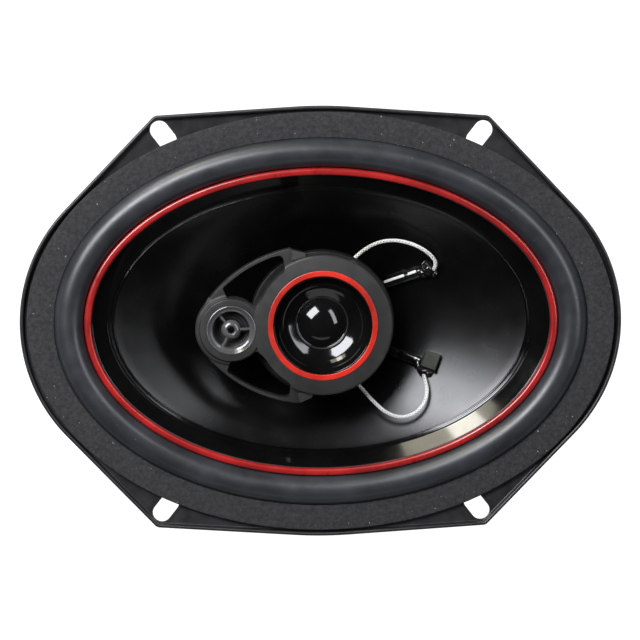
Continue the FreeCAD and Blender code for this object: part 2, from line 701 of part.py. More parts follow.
def make_spider():
    """Corrugated cloth disc from the former to the shelf."""
    waves = 7
    middle = "ShelfZ + SpiderCloth / 2"
    inner = "CoilBore + FormerWall"
    line = [(f"{inner} + 3", "0")]
    for number in range(waves):
        sign = "-" if number % 2 else "+"
        radius = f"{inner} + 3 + ( {number} + 0.5 ) * SpiderPitch"
        line.append((radius, f"0 {sign} SpiderWave"))
    line.append((f"{inner} + 3 + {waves} * SpiderPitch", "0"))
    upper = [(radius, f"{middle} + {rise} + SpiderCloth / 2") for radius, rise in line]
    lower = [(radius, f"{middle} + {rise} - SpiderCloth / 2") for radius, rise in line]
    edge = "ShelfOut - 2"
    profile = [
        (inner, f"{middle} - 0.9"),
        (f"{inner} + 0.6", f"{middle} - 0.9"),
        (f"{inner} + 0.6", f"{middle} - SpiderCloth / 2"),
        *lower,
        (edge, f"{middle} - SpiderCloth / 2"),
        (edge, f"{middle} + SpiderCloth / 2"),
        *reversed(upper),
        (inner, f"{middle} + SpiderCloth / 2"),
    ]
    return turned("spider", profile)


def make_cone_group(cone):
    former_out = "CoilBore + FormerWall"
    piece(cone, "cone")
    trim = elliptic_ring(
        "trim_ring",
        ("TrimX", "TrimY"),
        ("TrimX - TrimWide", "TrimY - TrimWide"),
        "Gauge + Rubber",
        "TrimTall",
    )
    doc.recompute()
    rounded = doc.addObject("Part::Fillet", "cone_trim_ring")
    rounded.Base = trim
    top = size("Gauge") + size("Rubber") + size("TrimTall")
    rounded.Edges = [
        (number, 0.9, 0.9)
        for number, edge in enumerate(trim.Shape.Edges, start=1)
        if abs(edge.BoundBox.ZMin - top) < 0.01
    ]
    piece(rounded, "cone_trim_ring")
    piece(make_surround(), "surround")
    piece(make_spider(), "spider")
    former = turned(
        "voice_coil_former",
        (
            ("CoilBore", "FormerFoot"),
            (former_out, "FormerFoot"),
            (former_out, "FormerTop"),
            ("CoilBore", "FormerTop"),
        ),
    )
    piece(former, "voice_coil_former")
    winding = turned(
        "voice_coil_winding",
        (
            (former_out, "WindingFoot"),
            (f"{former_out} + WindingWall", "WindingFoot"),
            (f"{former_out} + WindingWall", "WindingTop"),
            (former_out, "WindingTop"),
        ),
    )
    piece(winding, "voice_coil_winding")


def make_lead_joints(space):
    """Glue blobs over the leads' joints, and the glued leads down to the coil."""
    joints = {}
    upper = doc.addObject("Part::Sphere", "upper_blob")
    bind(upper, Radius="BlobRadius", X="JointX", Y="JointY", Z="JointZ")
    lower = doc.addObject("Part::Box", "lower_blob")
    bind(lower, Length="BlockLong", Width="BlockWide", Height="BlockTall")
    turn = FreeCAD.Rotation(FreeCAD.Vector(0, 0, 1), -20)
    corner = FreeCAD.Vector(size("JointX") - 4.6, -size("JointY") - 2.2, size("JointZ") - 3.0)
    lower.Placement = FreeCAD.Placement(corner, turn)
    runs = (("upper", upper, 1, "UpperBar"), ("lower", lower, -1, "LowerBar"))
    for name, blob, way, radius in runs:
        start = FreeCAD.Vector(size("BarX"), way * size("BarY"), size("BarZ"))
        end = FreeCAD.Vector(size("JointX"), way * size("JointY"), size("JointZ") - 0.4)
        bar = doc.addObject("Part::Cylinder", f"{name}_bar")
        bind(bar, Radius=radius)
        bar.Height = (end - start).Length
        bar.Placement = FreeCAD.Placement(
            start, FreeCAD.Rotation(FreeCAD.Vector(0, 0, 1), end - start)
        )
        joint = boolean("Common", f"{name}_joint", blob, space)
        lead = boolean("Common", f"{name}_bar_on_cone", bar, space)
        lead = cut(f"{name}_coil_lead", lead, blob)
        joints[way] = blob
        piece(joint, f"{name}_lead_joint")
        piece(lead, f"{name}_coil_lead")
    return joints


# ---------------------------------------------------------------- leads

def lead_path(points):
    """Straight runs joined by tangent arcs as large as the runs allow."""
    corners = [FreeCAD.Vector(*point) for point in points]
    edges, radii = [], []
    here = corners[0]
    for before, corner, after in zip(corners, corners[1:], corners[2:]):
        back, ahead = before - corner, after - corner
        reach = 0.45 * min(back.Length, ahead.Length)
        back.normalize()
        ahead.normalize()
        half_turn = (math.pi - back.getAngle(ahead)) / 2
        radius = reach / math.tan(half_turn)
        radii.append(radius)
        first, last = corner + back * reach, corner + ahead * reach
        inward = (back + ahead).normalize()
        middle = corner + inward * (math.hypot(radius, reach) - radius)
        edges.append(Part.LineSegment(here, first).toShape())
        edges.append(Part.Arc(first, middle, last).toShape())
        here = last
    edges.append(Part.LineSegment(here, corners[-1]).toShape())
    return Part.Wire(edges), radii


def make_lead(name, points, diameter):
    """A round lead along its route."""
    path, radii = lead_path(points)
    start = FreeCAD.Vector(*points[0])
    heading = FreeCAD.Vector(*points[1]) - start
    circle = Part.Wire(Part.Circle(start, heading, diameter / 2).toShape())
    tube = path.makePipeShell([circle], True, True)
    print(f"{name}: length {path.Length:.1f}, tightest {min(radii):.1f},"
          f" volume ratio {tube.Volume / (math.pi * diameter ** 2 / 4 * path.Length):.3f}")
    obj = doc.addObject("Part::Feature", name)
    obj.Shape = tube
    return obj


def make_front_leads(joints):
    for name, points, way in (("upper", UPPER_LEAD, 1), ("lower", LOWER_LEAD, -1)):
        tube = make_lead(f"{name}_tube", points, size("FrontLead"))
        drum = cylinder(f"{name}_drum", "SkirtRadius", "-8", "12")
        lead = cut(f"{name}_front_lead", tube, drum, joints[way])
        piece(lead, f"{name}_front_lead")


# ---------------------------------------------------------------- pod

def make_pod_housing():
    ring = turned(
        "pod_ring",
        (
            ("PodRadius - PodWall", "PodFoot"),
            ("PodRadius", "PodFoot"),
            ("PodRadius", "PodTop - 0.7"),
            ("PodRadius - 0.7", "PodTop"),
            ("RingOut", "PodTop"),
            ("RingOut", "PodTop - 2.3"),
            ("PodRadius - PodWall", "PodTop - 2.3"),
        ),
    )
    satellite = turned(
        "satellite_shell",
        (
            ("SatelliteRadius - 3.1", "PodFoot"),
            ("SatelliteRadius", "PodFoot"),
            ("SatelliteRadius", "ArmTop + 0.4"),
            ("SatelliteRadius - 0.6", "ArmTop + 1"),
            ("SatelliteRadius - 1.5", "ArmTop + 1"),
            ("SatelliteRadius - 2", "SatelliteTop"),
            ("GrilleOut + 0.1", "SatelliteTop"),
            ("GrilleOut + 0.1", "7.6"),
            ("SatelliteRadius - 3.1", "7.6"),
        ),
        x="- SatelliteX",
    )
    bridge = plate(
        "pod_bridge",
        (
            ("- SatelliteX + 4", "9.6"),
            ("- SatelliteX + 4", "-9.6"),
            ("- PodRadius + 2.6", "-8.4"),
            ("- PodRadius + 2.6", "8.4"),
        ),
        "ArmFoot",
        "ArmTop + 1 - ArmFoot",
    )
    shapes = [ring, satellite, bridge]
    for name, way in (("upper", 1), ("lower", -1)):
        shapes += make_arm(name, way)
    whole = fuse("pod_whole", *shapes)
    bore = cylinder("pod_bore", "PodRadius - PodWall", "-3", "PodTop - 2.3 + 3")
    well = cylinder("pod_well", "SatelliteRadius - 3.1", "0", "7.6", x="- SatelliteX")
    mouth = cylinder("pod_mouth", "GrilleOut + 0.1", "5", "10", x="- SatelliteX")
    return turn_with_pod(cut("pod_housing", whole, bore, well, mouth))


def make_arm(name, way):
    """One curved arm from the satellite to the round face, with its two webs."""
    tall = "ArmTop - ArmFoot"
    solids = []
    for part, radius in (("outer", "ArmArc"), ("inner", "ArmArc - ArmWall")):
        solid = doc.addObject("Part::Cylinder", f"{name}_arm_{part}")
        bind(solid, Radius=radius, Height=tall, Angle="ArmSpan")
        first = size("ArmFrom") if way > 0 else -size("ArmFrom") - size("ArmSpan")
        place = FreeCAD.Vector(-size("ArmX"), -way * size("ArmY"), size("ArmFoot"))
        turn = FreeCAD.Rotation(FreeCAD.Vector(0, 0, 1), first)
        solid.Placement = FreeCAD.Placement(place, turn)
        solids.append(solid)
    band = cut(f"{name}_arm", *solids)
    web = plate(
        f"{name}_web",
        (
            ("-16.8", f"{way} * 26.9"),
            ("-16.3", f"{way} * 28.4"),
            ("-10.8", f"{way} * 29.2"),
            ("-5.2", f"{way} * 27"),
            ("-6.5", f"{way} * 25.6"),
            ("-13.2", f"{way} * 22.6"),
            ("-13", f"{way} * 25.2"),
        ),
        "ArmFoot",
        tall,
    )
    shoulder = plate(
        f"{name}_shoulder",
        (
            ("-36.3", f"{way} * 16.4"),
            ("-40.8", f"{way} * 14.1"),
            ("-44.6", f"{way} * 9.4"),
            ("-41", f"{way} * 8"),
            ("-35.4", f"{way} * 11.8"),
            ("-37", f"{way} * 14"),
        ),
        "ArmFoot",
        tall,
    )
    return [band, web, shoulder]


def make_tweeter():
    piece(make_pod_housing(), "pod_housing")
    cover = turned(
        "pod_rear_cover",
        (
            ("SpigotRadius", "StemTop"),
            ("14", "StemTop"),
            ("SkirtRadius - 2", "-4.4"),
            ("SkirtRadius", "-3"),
            ("SkirtRadius", "PodFoot"),
            ("PodRadius - PodWall + 0.2", "PodFoot"),
            ("PodRadius - PodWall + 0.2", "-2.6"),
            ("13.4", "StemTop + 1.6"),
            ("SpigotRadius", "StemTop + 1.6"),
        ),
    )
    piece(cover, "pod_rear_cover")
    nut = doc.addObject("Part::Prism", "stem_nut_blank")
    nut.Polygon = 6
    bind(nut, Circumradius="NutFlats / 1.7320508", Height="NutTall", Z="StemTop + 1.6")
    thread = cylinder("stem_nut_thread", "SpigotRadius", "StemTop", "8")
    piece(cut("stem_nut", nut, thread), "stem_nut")
    red_ring = turned(
        "tweeter_trim_ring",
        (
            ("RingIn", "PodTop - 1.3"),
            ("RingOut", "PodTop - 1.3"),
            ("RingOut", "PodTop + 0.1"),
            ("RingOut - 0.3", "PodTop + 0.3"),
            ("RingIn + 0.2", "PodTop + 0.3"),
            ("RingIn", "PodTop + 0.1"),
        ),
    )
    piece(red_ring, "tweeter_trim_ring")
    waveguide = turned(
        "tweeter_waveguide",
        (
            ("ThroatRadius", "DomeZ"),
            ("ThroatRadius + 5.1", "DomeZ + 1.5"),
            ("RingIn - 0.1", "PodTop - 4.6"),
            ("PodRadius - PodWall", "PodTop - 4.6"),
            ("PodRadius - PodWall", "PodTop - 2.3"),
            ("RingOut", "PodTop - 2.3"),
            ("RingOut", "PodTop - 1.3"),
            ("RingIn", "PodTop - 1.3"),
            ("RingIn", "PodTop - 0.1"),
            ("RingIn - 0.6", "PodTop - 0.1"),
            ("RingIn - 1.6", "PodTop - 3.3"),
            ("ThroatRadius + 4.2", "DomeZ + 2.8"),
            ("ThroatRadius", "DomeZ + 1"),
        ),
    )
    piece(waveguide, "tweeter_waveguide")
    suspension = turned(
        "tweeter_surround",
        (
            ("DomeRadius - 0.15", "DomeZ - 0.3"),
            ("CupRadius - 1", "DomeZ - 0.3"),
            ("CupRadius - 1", "DomeZ"),
            ("ThroatRadius", "DomeZ"),
            ("ThroatRadius - 0.15", "DomeZ + 0.5"),
            ("DomeRadius + 0.25", "DomeZ + 0.5"),
            ("DomeRadius + 0.1", "DomeZ"),
            ("DomeRadius - 0.15", "DomeZ"),
        ),
    )
    piece(suspension, "tweeter_surround")
    piece(make_dome(), "tweeter_dome")
    coil = turned(
        "tweeter_voice_coil",
        (
            ("DomeRadius - 0.6", "DomeZ - 4.2"),
            ("DomeRadius - 0.2", "DomeZ - 4.2"),
            ("DomeRadius - 0.2", "DomeZ"),
            ("DomeRadius - 0.6", "DomeZ"),
        ),
    )
    piece(coil, "tweeter_voice_coil")
    cup_top = "DomeZ - 0.3"
    piece(cylinder("tweeter_pole_plate", "8.7", f"{cup_top} - 2.1", "2"), "tweeter_pole_plate")
    piece(cylinder("tweeter_magnet", "8.3", f"{cup_top} - 5.7", "3.6"), "tweeter_magnet")
    cup = turned(
        "tweeter_cup",
        (
            ("0", f"{cup_top} - 7.5"),
            ("CupRadius - 0.6", f"{cup_top} - 7.5"),
            ("CupRadius", f"{cup_top} - 6.9"),
            ("CupRadius", cup_top),
            ("CupBore", cup_top),
            ("CupBore", f"{cup_top} - 5.7"),
            ("0", f"{cup_top} - 5.7"),
        ),
    )
    piece(cup, "tweeter_cup")
    capacitor = doc.addObject("Part::Cylinder", "crossover_capacitor")
    bind(capacitor, Radius="CapacitorRadius", Height="CapacitorLong")
    lying = FreeCAD.Rotation(FreeCAD.Vector(1, 0, 0), 90)
    middle = FreeCAD.Vector(size("CapacitorX"), size("CapacitorLong") / 2, -1.0)
    capacitor.Placement = FreeCAD.Placement(middle, lying)
    piece(capacitor, "crossover_capacitor")


def make_dome():
    """A thin spherical cap with a narrow flat edge."""
    half = size("DomeRadius") - 0.2
    ball = (half ** 2 + size("DomeTall") ** 2) / (2 * size("DomeTall"))
    centre = size("DomeZ") + size("DomeTall") - ball
    skin = doc.addObject("Part::Sphere", "dome_outside")
    bind(skin, Radius=str(ball), Z=str(centre))
    hollow = doc.addObject("Part::Sphere", "dome_inside")
    bind(hollow, Radius=f"{ball} - Foil", Z=str(centre))
    keep = cylinder("dome_keep", "DomeRadius", "DomeZ", "DomeTall + 1")
    shell = boolean("Common", "dome_shell", cut("dome_ball", skin, hollow), keep)
    edge = cylinder("dome_edge", "DomeRadius", "DomeZ", "0.2")
    hole = cylinder("dome_edge_hole", "DomeRadius - 0.7", "DomeZ - 1", "3")
    return fuse("tweeter_dome", shell, cut("dome_flat", edge, hole))


def make_supertweeter():
    place = "- SatelliteX"
    bezel = turned(
        "grille_bezel",
        (
            ("GrilleIn", "8"),
            ("GrilleOut", "8"),
            ("GrilleOut", "SatelliteTop + 0.2"),
            ("GrilleOut - 0.4", "SatelliteTop + 0.3"),
            ("GrilleIn", "9.6"),
        ),
        x=place,
    )
    hub = turned(
        "grille_hub",
        (
            ("1.3", "8.2"),
            ("HubRadius", "8.2"),
            ("HubRadius", "9.4"),
            ("HubRadius - 0.8", "10.6"),
            ("HubRadius - 2", "11.1"),
            ("1.3", "11.1"),
        ),
        x=place,
    )
    shapes = [bezel, hub]
    for number, degrees in enumerate((0, 125, 240)):
        spoke = doc.addObject("Part::Box", f"grille_spoke{number}")
        bind(spoke, Length="GrilleIn - HubRadius + 1", Width="SpokeWide", Height="1.1")
        turn = FreeCAD.Rotation(FreeCAD.Vector(0, 0, 1), degrees)
        reach = FreeCAD.Vector(size("HubRadius") - 0.5, -size("SpokeWide") / 2, 8.3)
        middle = FreeCAD.Vector(-size("SatelliteX"), 0, 0)
        spoke.Placement = FreeCAD.Placement(middle + turn.multVec(reach), turn)
        shapes.append(spoke)
    piece(turn_with_pod(fuse("supertweeter_grille", *shapes)), "supertweeter_grille")
    paper = turned(
        "supertweeter_cone",
        (
            ("0", "4.4"),
            ("1.4", "4.4"),
            ("8.6", "7"),
            ("GrilleOut - 0.1", "7"),
            ("GrilleOut - 0.1", "7.3"),
            ("8.5", "7.3"),
            ("1.3", "4.7"),
            ("0", "4.7"),
        ),
        x=place,
    )
    bender = cylinder("piezo_disc", "6", "3.9", "0.5", x=place)
    lid = cylinder("satellite_lid", "SatelliteRadius - 3.1", "PodFoot", "0.9", x=place)
    for shape, label in (
        (paper, "supertweeter_diaphragm"),
        (bender, "piezo_element"),
        (lid, "satellite_cap"),
    ):
        piece(turn_with_pod(group(label, shape)), label)


# ---------------------------------------------------------------- terminals

def make_terminals(basket):
    """A board riveted under the basket's +X spoke, with a lug at each end."""
    foot = FreeCAD.Vector(size("ShelfOut"), 0, size("ShelfZ") - 1.2)
    run = FreeCAD.Vector(size("KneeX") + 0.8, 0, size("KneeZ") - 1) - foot
    slope = math.atan2(run.z, run.x)
    on_wall = foot + run * ((size("BoardX") - foot.x) / run.x)
    tilt = FreeCAD.Rotation(FreeCAD.Vector(0, 1, 0), -math.degrees(slope))

    def block(name, start, sizes):
        box = doc.addObject("Part::Box", name)
        bind(box, Length=sizes[0], Width=sizes[1], Height=sizes[2])
        box.Placement = FreeCAD.Placement(on_wall + tilt.multVec(FreeCAD.Vector(*start)), tilt)
        return box

    thick = size("BoardThick")
    board = block(
        "board_blank",
        (-size("BoardWide") / 2, -size("BoardLong") / 2, -thick),
        ("BoardWide", "BoardLong", "BoardThick"),
    )
    rivets = []
    for number, along in enumerate((-3.6, 3.6)):
        parts = []
        for part, radius, start, tall in (
            ("shank", 1.4, -thick, thick + 2.2), ("head", 2.4, -thick - 0.9, 0.9),
        ):
            pin = doc.addObject("Part::Cylinder", f"board_rivet{number}_{part}")
            pin.Radius = radius
            pin.Height = tall
            spot = on_wall + tilt.multVec(FreeCAD.Vector(along, 0, start))
            pin.Placement = FreeCAD.Placement(spot, tilt)
            parts.append(pin)
        rivets.append(fuse(f"board_rivet{number}", *parts))
    rivets = group("terminal_rivets", *rivets)
    piece(cut("terminal_board", board, rivets), "terminal_board")
    piece(rivets, "terminal_rivets")
    lugs = {}
    for name, way, wide in (("positive", 1, "WideLug"), ("negative", -1, "NarrowLug")):
        start = (
            -size("BoardWide") / 2 - 3,
            way * size("LugY") - size(wide) / 2,
            -thick - size("LugThick"),
        )
        lug = block(f"{name}_lug", start, ("LugLong", wide, "LugThick"))
        lugs[way] = lug
        piece(lug, f"{name}_terminal")
    return cut("basket_with_rivet_holes", basket, rivets), lugs


def make_rear_leads(cone, lugs):
    for name, way in (("positive", 1), ("negative", -1)):
        points = [(x, way * y, z) for x, y, z in REAR_LEAD]
        tube = make_lead(f"{name}_rear_tube", points, size("RearLead"))
        lead = cut(f"{name}_rear_lead", tube, cone, lugs[way])
        piece(lead, f"{name}_rear_lead")


# ---------------------------------------------------------------- assembly

basket = make_motor()
piece(
    elliptic_ring(
        "front_gasket",
        ("GasketX", "GasketY"),
        ("RollMidX + RollArc + 0.1", "RollMidY + RollArc + 0.1"),
        "Gauge + Rubber",
        "GasketTop - Gauge - Rubber",
    ),
    "front_gasket",
)
cone, cone_space = make_cone()
make_cone_group(cone)
joints = make_lead_joints(cone_space)
make_tweeter()
make_front_leads(joints)
make_supertweeter()
drilled_basket, lugs = make_terminals(basket)
piece(drilled_basket, "basket")
make_rear_leads(cone, lugs)
doc.recompute()

problems = [
    f"{obj.Name}: {', '.join(obj.State)}"
    for obj in doc.Objects
    if {"Invalid", "Error"} & set(obj.State)
]
problems += [
    f"{obj.Label}: no valid shape"
    for obj in pieces
    if obj.Shape.isNull() or not obj.Shape.isValid() or not obj.Shape.Solids
]
if problems:
    raise SystemExit("\n".join(problems))

os.makedirs("parts", exist_ok=True)
for obj in pieces:
    obj.Shape.exportStep(f"parts/{obj.Label}.step")
    box = obj.Shape.BoundBox
    print(f"{obj.Label:26s} solids {len(obj.Shape.Solids)} volume {obj.Shape.Volume:10.1f}"
          f" x {box.XMin:7.1f} {box.XMax:7.1f} y {box.YMin:7.1f} {box.YMax:7.1f}"
          f" z {box.ZMin:7.1f} {box.ZMax:7.1f}")
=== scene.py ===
"""The looks of an oval coaxial car speaker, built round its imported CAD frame.

Lengths are in millimetres until a mesh is made, in metres.
+Z points out of the speaker's front, +X runs along its long side.
"""
import json
from math import acos, asin, atan2, copysign, cos, degrees, hypot, pi, radians, sin, tan

import bmesh
import bpy
from mathutils import Matrix, Vector, noise
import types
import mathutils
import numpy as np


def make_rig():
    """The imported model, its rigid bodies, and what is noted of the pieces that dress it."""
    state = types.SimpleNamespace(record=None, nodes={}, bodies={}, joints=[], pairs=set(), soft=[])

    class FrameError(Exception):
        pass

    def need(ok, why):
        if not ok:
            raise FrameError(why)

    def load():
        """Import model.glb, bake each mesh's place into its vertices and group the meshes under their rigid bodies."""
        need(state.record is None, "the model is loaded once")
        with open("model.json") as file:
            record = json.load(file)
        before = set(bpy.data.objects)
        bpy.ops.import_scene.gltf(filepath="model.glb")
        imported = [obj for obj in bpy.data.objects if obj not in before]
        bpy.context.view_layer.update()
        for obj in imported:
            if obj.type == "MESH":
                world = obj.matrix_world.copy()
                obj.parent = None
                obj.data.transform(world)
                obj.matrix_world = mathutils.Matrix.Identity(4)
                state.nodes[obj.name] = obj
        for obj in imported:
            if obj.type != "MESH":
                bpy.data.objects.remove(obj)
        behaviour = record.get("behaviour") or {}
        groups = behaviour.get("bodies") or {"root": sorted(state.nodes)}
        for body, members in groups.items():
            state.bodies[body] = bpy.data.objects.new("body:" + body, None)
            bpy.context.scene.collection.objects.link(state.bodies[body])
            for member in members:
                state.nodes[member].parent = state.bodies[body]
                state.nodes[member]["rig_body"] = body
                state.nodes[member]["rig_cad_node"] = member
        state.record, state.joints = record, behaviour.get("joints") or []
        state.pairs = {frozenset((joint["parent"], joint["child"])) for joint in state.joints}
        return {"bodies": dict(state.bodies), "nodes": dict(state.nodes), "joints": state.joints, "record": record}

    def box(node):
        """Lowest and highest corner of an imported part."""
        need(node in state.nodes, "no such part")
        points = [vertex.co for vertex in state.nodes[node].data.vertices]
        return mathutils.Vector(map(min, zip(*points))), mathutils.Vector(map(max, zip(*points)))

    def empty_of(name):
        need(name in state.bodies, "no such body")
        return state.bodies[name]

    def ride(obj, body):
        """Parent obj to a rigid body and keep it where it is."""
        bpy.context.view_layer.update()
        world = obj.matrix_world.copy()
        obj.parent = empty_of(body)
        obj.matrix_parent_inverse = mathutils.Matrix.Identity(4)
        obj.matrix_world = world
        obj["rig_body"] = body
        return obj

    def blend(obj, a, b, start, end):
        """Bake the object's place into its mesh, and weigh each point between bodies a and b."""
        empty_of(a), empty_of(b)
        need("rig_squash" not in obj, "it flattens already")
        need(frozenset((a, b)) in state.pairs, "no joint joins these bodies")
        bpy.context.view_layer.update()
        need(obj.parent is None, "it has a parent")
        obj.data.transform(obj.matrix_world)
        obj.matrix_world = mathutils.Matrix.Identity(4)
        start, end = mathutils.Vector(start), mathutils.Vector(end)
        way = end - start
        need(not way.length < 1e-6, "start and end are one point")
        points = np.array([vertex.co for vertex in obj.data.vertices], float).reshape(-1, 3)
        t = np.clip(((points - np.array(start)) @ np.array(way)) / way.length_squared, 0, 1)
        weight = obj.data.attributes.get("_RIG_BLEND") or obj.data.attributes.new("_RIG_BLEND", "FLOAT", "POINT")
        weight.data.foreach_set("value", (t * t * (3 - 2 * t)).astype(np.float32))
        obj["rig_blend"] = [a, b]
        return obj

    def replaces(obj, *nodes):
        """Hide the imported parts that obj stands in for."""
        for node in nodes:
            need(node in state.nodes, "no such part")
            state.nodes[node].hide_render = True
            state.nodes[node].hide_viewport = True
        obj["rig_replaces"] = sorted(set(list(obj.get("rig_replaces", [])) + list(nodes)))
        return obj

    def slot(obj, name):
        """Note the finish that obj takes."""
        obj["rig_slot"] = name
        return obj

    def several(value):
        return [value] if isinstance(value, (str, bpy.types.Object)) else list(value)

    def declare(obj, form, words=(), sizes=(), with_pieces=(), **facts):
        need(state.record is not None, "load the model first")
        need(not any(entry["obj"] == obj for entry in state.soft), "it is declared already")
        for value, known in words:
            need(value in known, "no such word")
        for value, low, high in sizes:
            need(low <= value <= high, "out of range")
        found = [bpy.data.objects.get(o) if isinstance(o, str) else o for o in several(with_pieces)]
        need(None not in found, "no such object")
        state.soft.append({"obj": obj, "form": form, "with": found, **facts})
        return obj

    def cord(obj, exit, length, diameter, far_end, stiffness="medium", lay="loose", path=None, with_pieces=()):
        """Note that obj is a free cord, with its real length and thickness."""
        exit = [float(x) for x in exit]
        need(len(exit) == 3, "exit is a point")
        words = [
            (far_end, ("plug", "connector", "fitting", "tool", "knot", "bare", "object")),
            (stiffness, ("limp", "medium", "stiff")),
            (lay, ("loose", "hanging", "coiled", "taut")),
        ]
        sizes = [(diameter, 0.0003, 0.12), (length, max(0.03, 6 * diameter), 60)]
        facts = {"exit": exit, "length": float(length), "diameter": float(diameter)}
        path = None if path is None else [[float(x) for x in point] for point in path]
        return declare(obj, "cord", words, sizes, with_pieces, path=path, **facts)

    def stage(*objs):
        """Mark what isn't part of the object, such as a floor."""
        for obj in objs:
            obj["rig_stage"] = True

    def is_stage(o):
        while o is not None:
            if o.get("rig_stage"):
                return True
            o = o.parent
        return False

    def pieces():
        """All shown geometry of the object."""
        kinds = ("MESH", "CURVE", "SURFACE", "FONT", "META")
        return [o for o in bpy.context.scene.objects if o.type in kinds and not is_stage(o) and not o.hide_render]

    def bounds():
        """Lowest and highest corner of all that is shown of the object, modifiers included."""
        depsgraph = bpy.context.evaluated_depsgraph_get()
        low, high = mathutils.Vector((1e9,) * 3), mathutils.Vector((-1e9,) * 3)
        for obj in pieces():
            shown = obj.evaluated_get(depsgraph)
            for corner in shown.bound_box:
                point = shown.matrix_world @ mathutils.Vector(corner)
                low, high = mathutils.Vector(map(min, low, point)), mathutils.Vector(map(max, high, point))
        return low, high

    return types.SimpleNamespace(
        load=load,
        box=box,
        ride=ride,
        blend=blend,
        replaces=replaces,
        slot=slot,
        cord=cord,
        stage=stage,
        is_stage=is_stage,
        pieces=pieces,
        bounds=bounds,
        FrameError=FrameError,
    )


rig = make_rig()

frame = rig.load()
cad_box = [list(corner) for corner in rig.bounds()]

MM = 0.001
FULL = 2 * pi
SHARP = radians(32)


def reach(node):
    """A CAD node's lowest and highest corners in millimetres."""
    low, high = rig.box(node)
    return low / MM, high / MM


# ---- meshes

def finish_mesh(mesh, name, sharp=SHARP):
    """Merge what meets, face outwards, shade smooth between sharp edges."""
    work = bmesh.new()
    work.from_mesh(mesh)
    bmesh.ops.remove_doubles(work, verts=work.verts, dist=2e-6)
    bmesh.ops.dissolve_degenerate(work, edges=work.edges, dist=1e-7)
    bmesh.ops.recalc_face_normals(work, faces=work.faces)
    work.to_mesh(mesh)
    work.free()
    mesh.shade_smooth()
    mesh.set_sharp_from_angle(angle=sharp)
    return add_object(name, mesh)


def add_object(name, data):
    obj = bpy.data.objects.new(name, data)
    bpy.context.scene.collection.objects.link(obj)
    return obj


def from_work(work, name, sharp=SHARP):
    """The finished piece that a bmesh holds."""
    mesh = bpy.data.meshes.new(name)
    work.to_mesh(mesh)
    work.free()
    return finish_mesh(mesh, name, sharp)


def rounded(corners):
    """A closed loop through (point, radius) corners, with each corner rounded."""
    steps = 5
    loop = []
    for number, (corner, radius) in enumerate(corners):
        if not radius:
            loop.append(corner)
            continue
        back = corners[number - 1][0] - corner
        ahead = corners[(number + 1) % len(corners)][0] - corner
        half = max(back.angle(ahead) / 2, 0.02)
        far = min(radius / tan(half), 0.48 * back.length, 0.48 * ahead.length)
        back.normalize()
        ahead.normalize()
        first, last = corner + back * far, corner + ahead * far
        inward = back + ahead
        if inward.length < 1e-4:
            loop += [first.lerp(last, step / steps) for step in range(steps + 1)]
            continue
        centre = corner + inward.normalized() * (far / cos(half))
        start, end = first - centre, last - centre
        round_off = start.length
        loop += [centre + start.slerp(end, step / steps) * round_off
                 for step in range(steps + 1)]
    return loop


def skin(name, loops, closed=True, sharp=SHARP):
    """Quads between loops of points; closed joins the last loop to the first."""
    count = len(loops[0])
    points = [point * MM for loop in loops for point in loop]
    faces = []
    for here in range(len(loops) - (0 if closed else 1)):
        after = (here + 1) % len(loops)
        for edge in range(count):
            other = (edge + 1) % count
            faces.append((here * count + edge, here * count + other,
                          after * count + other, after * count + edge))
    if not closed:
        faces.append(tuple(range(count)))
        faces.append(tuple(range((len(loops) - 1) * count, len(loops) * count)))
    mesh = bpy.data.meshes.new(name)
    mesh.from_pydata(points, [], faces)
    return finish_mesh(mesh, name, sharp)


def loft(name, section, turns=360):
    """A closed ring; section(turn) gives its (point, radius) corners at that turn."""
    return skin(name, [rounded(section(FULL * step / turns)) for step in range(turns)])


def turned(name, corners, centre=(0, 0), turns=160):
    """A turned piece from (radius, height, rounding) corners."""
    def section(turn):
        across = Vector((cos(turn), sin(turn), 0))
        middle = Vector((*centre, 0))
        return [(middle + across * out + Vector((0, 0, up)), soft) for out, up, soft in corners]
    return loft(name, section, turns)


def on_ellipse(halves, turn, height):
    return Vector((halves[0] * cos(turn), halves[1] * sin(turn), height))


def arc(centre, radius, first, last, steps=24):
    """Points on an arc, the angles in degrees."""
    angles = [radians(first + (last - first) * step / steps) for step in range(steps + 1)]
    return [Vector((centre[0] + radius * cos(angle), centre[1] + radius * sin(angle), 0))
            for angle in angles]


def prism(name, outline, low, high, edge=0.0):
    """An upright solid on an outline; edge rounds its top edges."""
    work = bmesh.new()
    base = [work.verts.new(Vector((point.x, point.y, low)) * MM) for point in outline]
    bottom = work.faces.new(base)
    made = bmesh.ops.extrude_face_region(work, geom=[bottom])["geom"]
    lifted = [item for item in made if isinstance(item, bmesh.types.BMVert)]
    bmesh.ops.translate(work, verts=lifted, vec=Vector((0, 0, (high - low) * MM)))
    if edge:
        rim = [item for item in made if isinstance(item, bmesh.types.BMEdge)]
        bmesh.ops.bevel(work, geom=rim, offset=edge * MM, segments=3, affect="EDGES", profile=0.6)
    return from_work(work, name)


def block(name, sizes, edge, place):
    """A box with rounded edges, centred on a placement matrix in millimetres."""
    work = bmesh.new()
    bmesh.ops.create_cube(work, size=1)
    bmesh.ops.scale(work, verts=work.verts, vec=Vector(sizes))
    bmesh.ops.bevel(work, geom=work.edges[:], offset=edge, segments=3, affect="EDGES", profile=0.6)
    bmesh.ops.transform(work, matrix=place, verts=work.verts)
    bmesh.ops.scale(work, verts=work.verts, vec=Vector((MM, MM, MM)))
    return from_work(work, name)


def combine(name, objects):
    """Several separate solids as one piece."""
    work = bmesh.new()
    for obj in objects:
        work.from_mesh(obj.data)
        bpy.data.objects.remove(obj)
    return from_work(work, name)


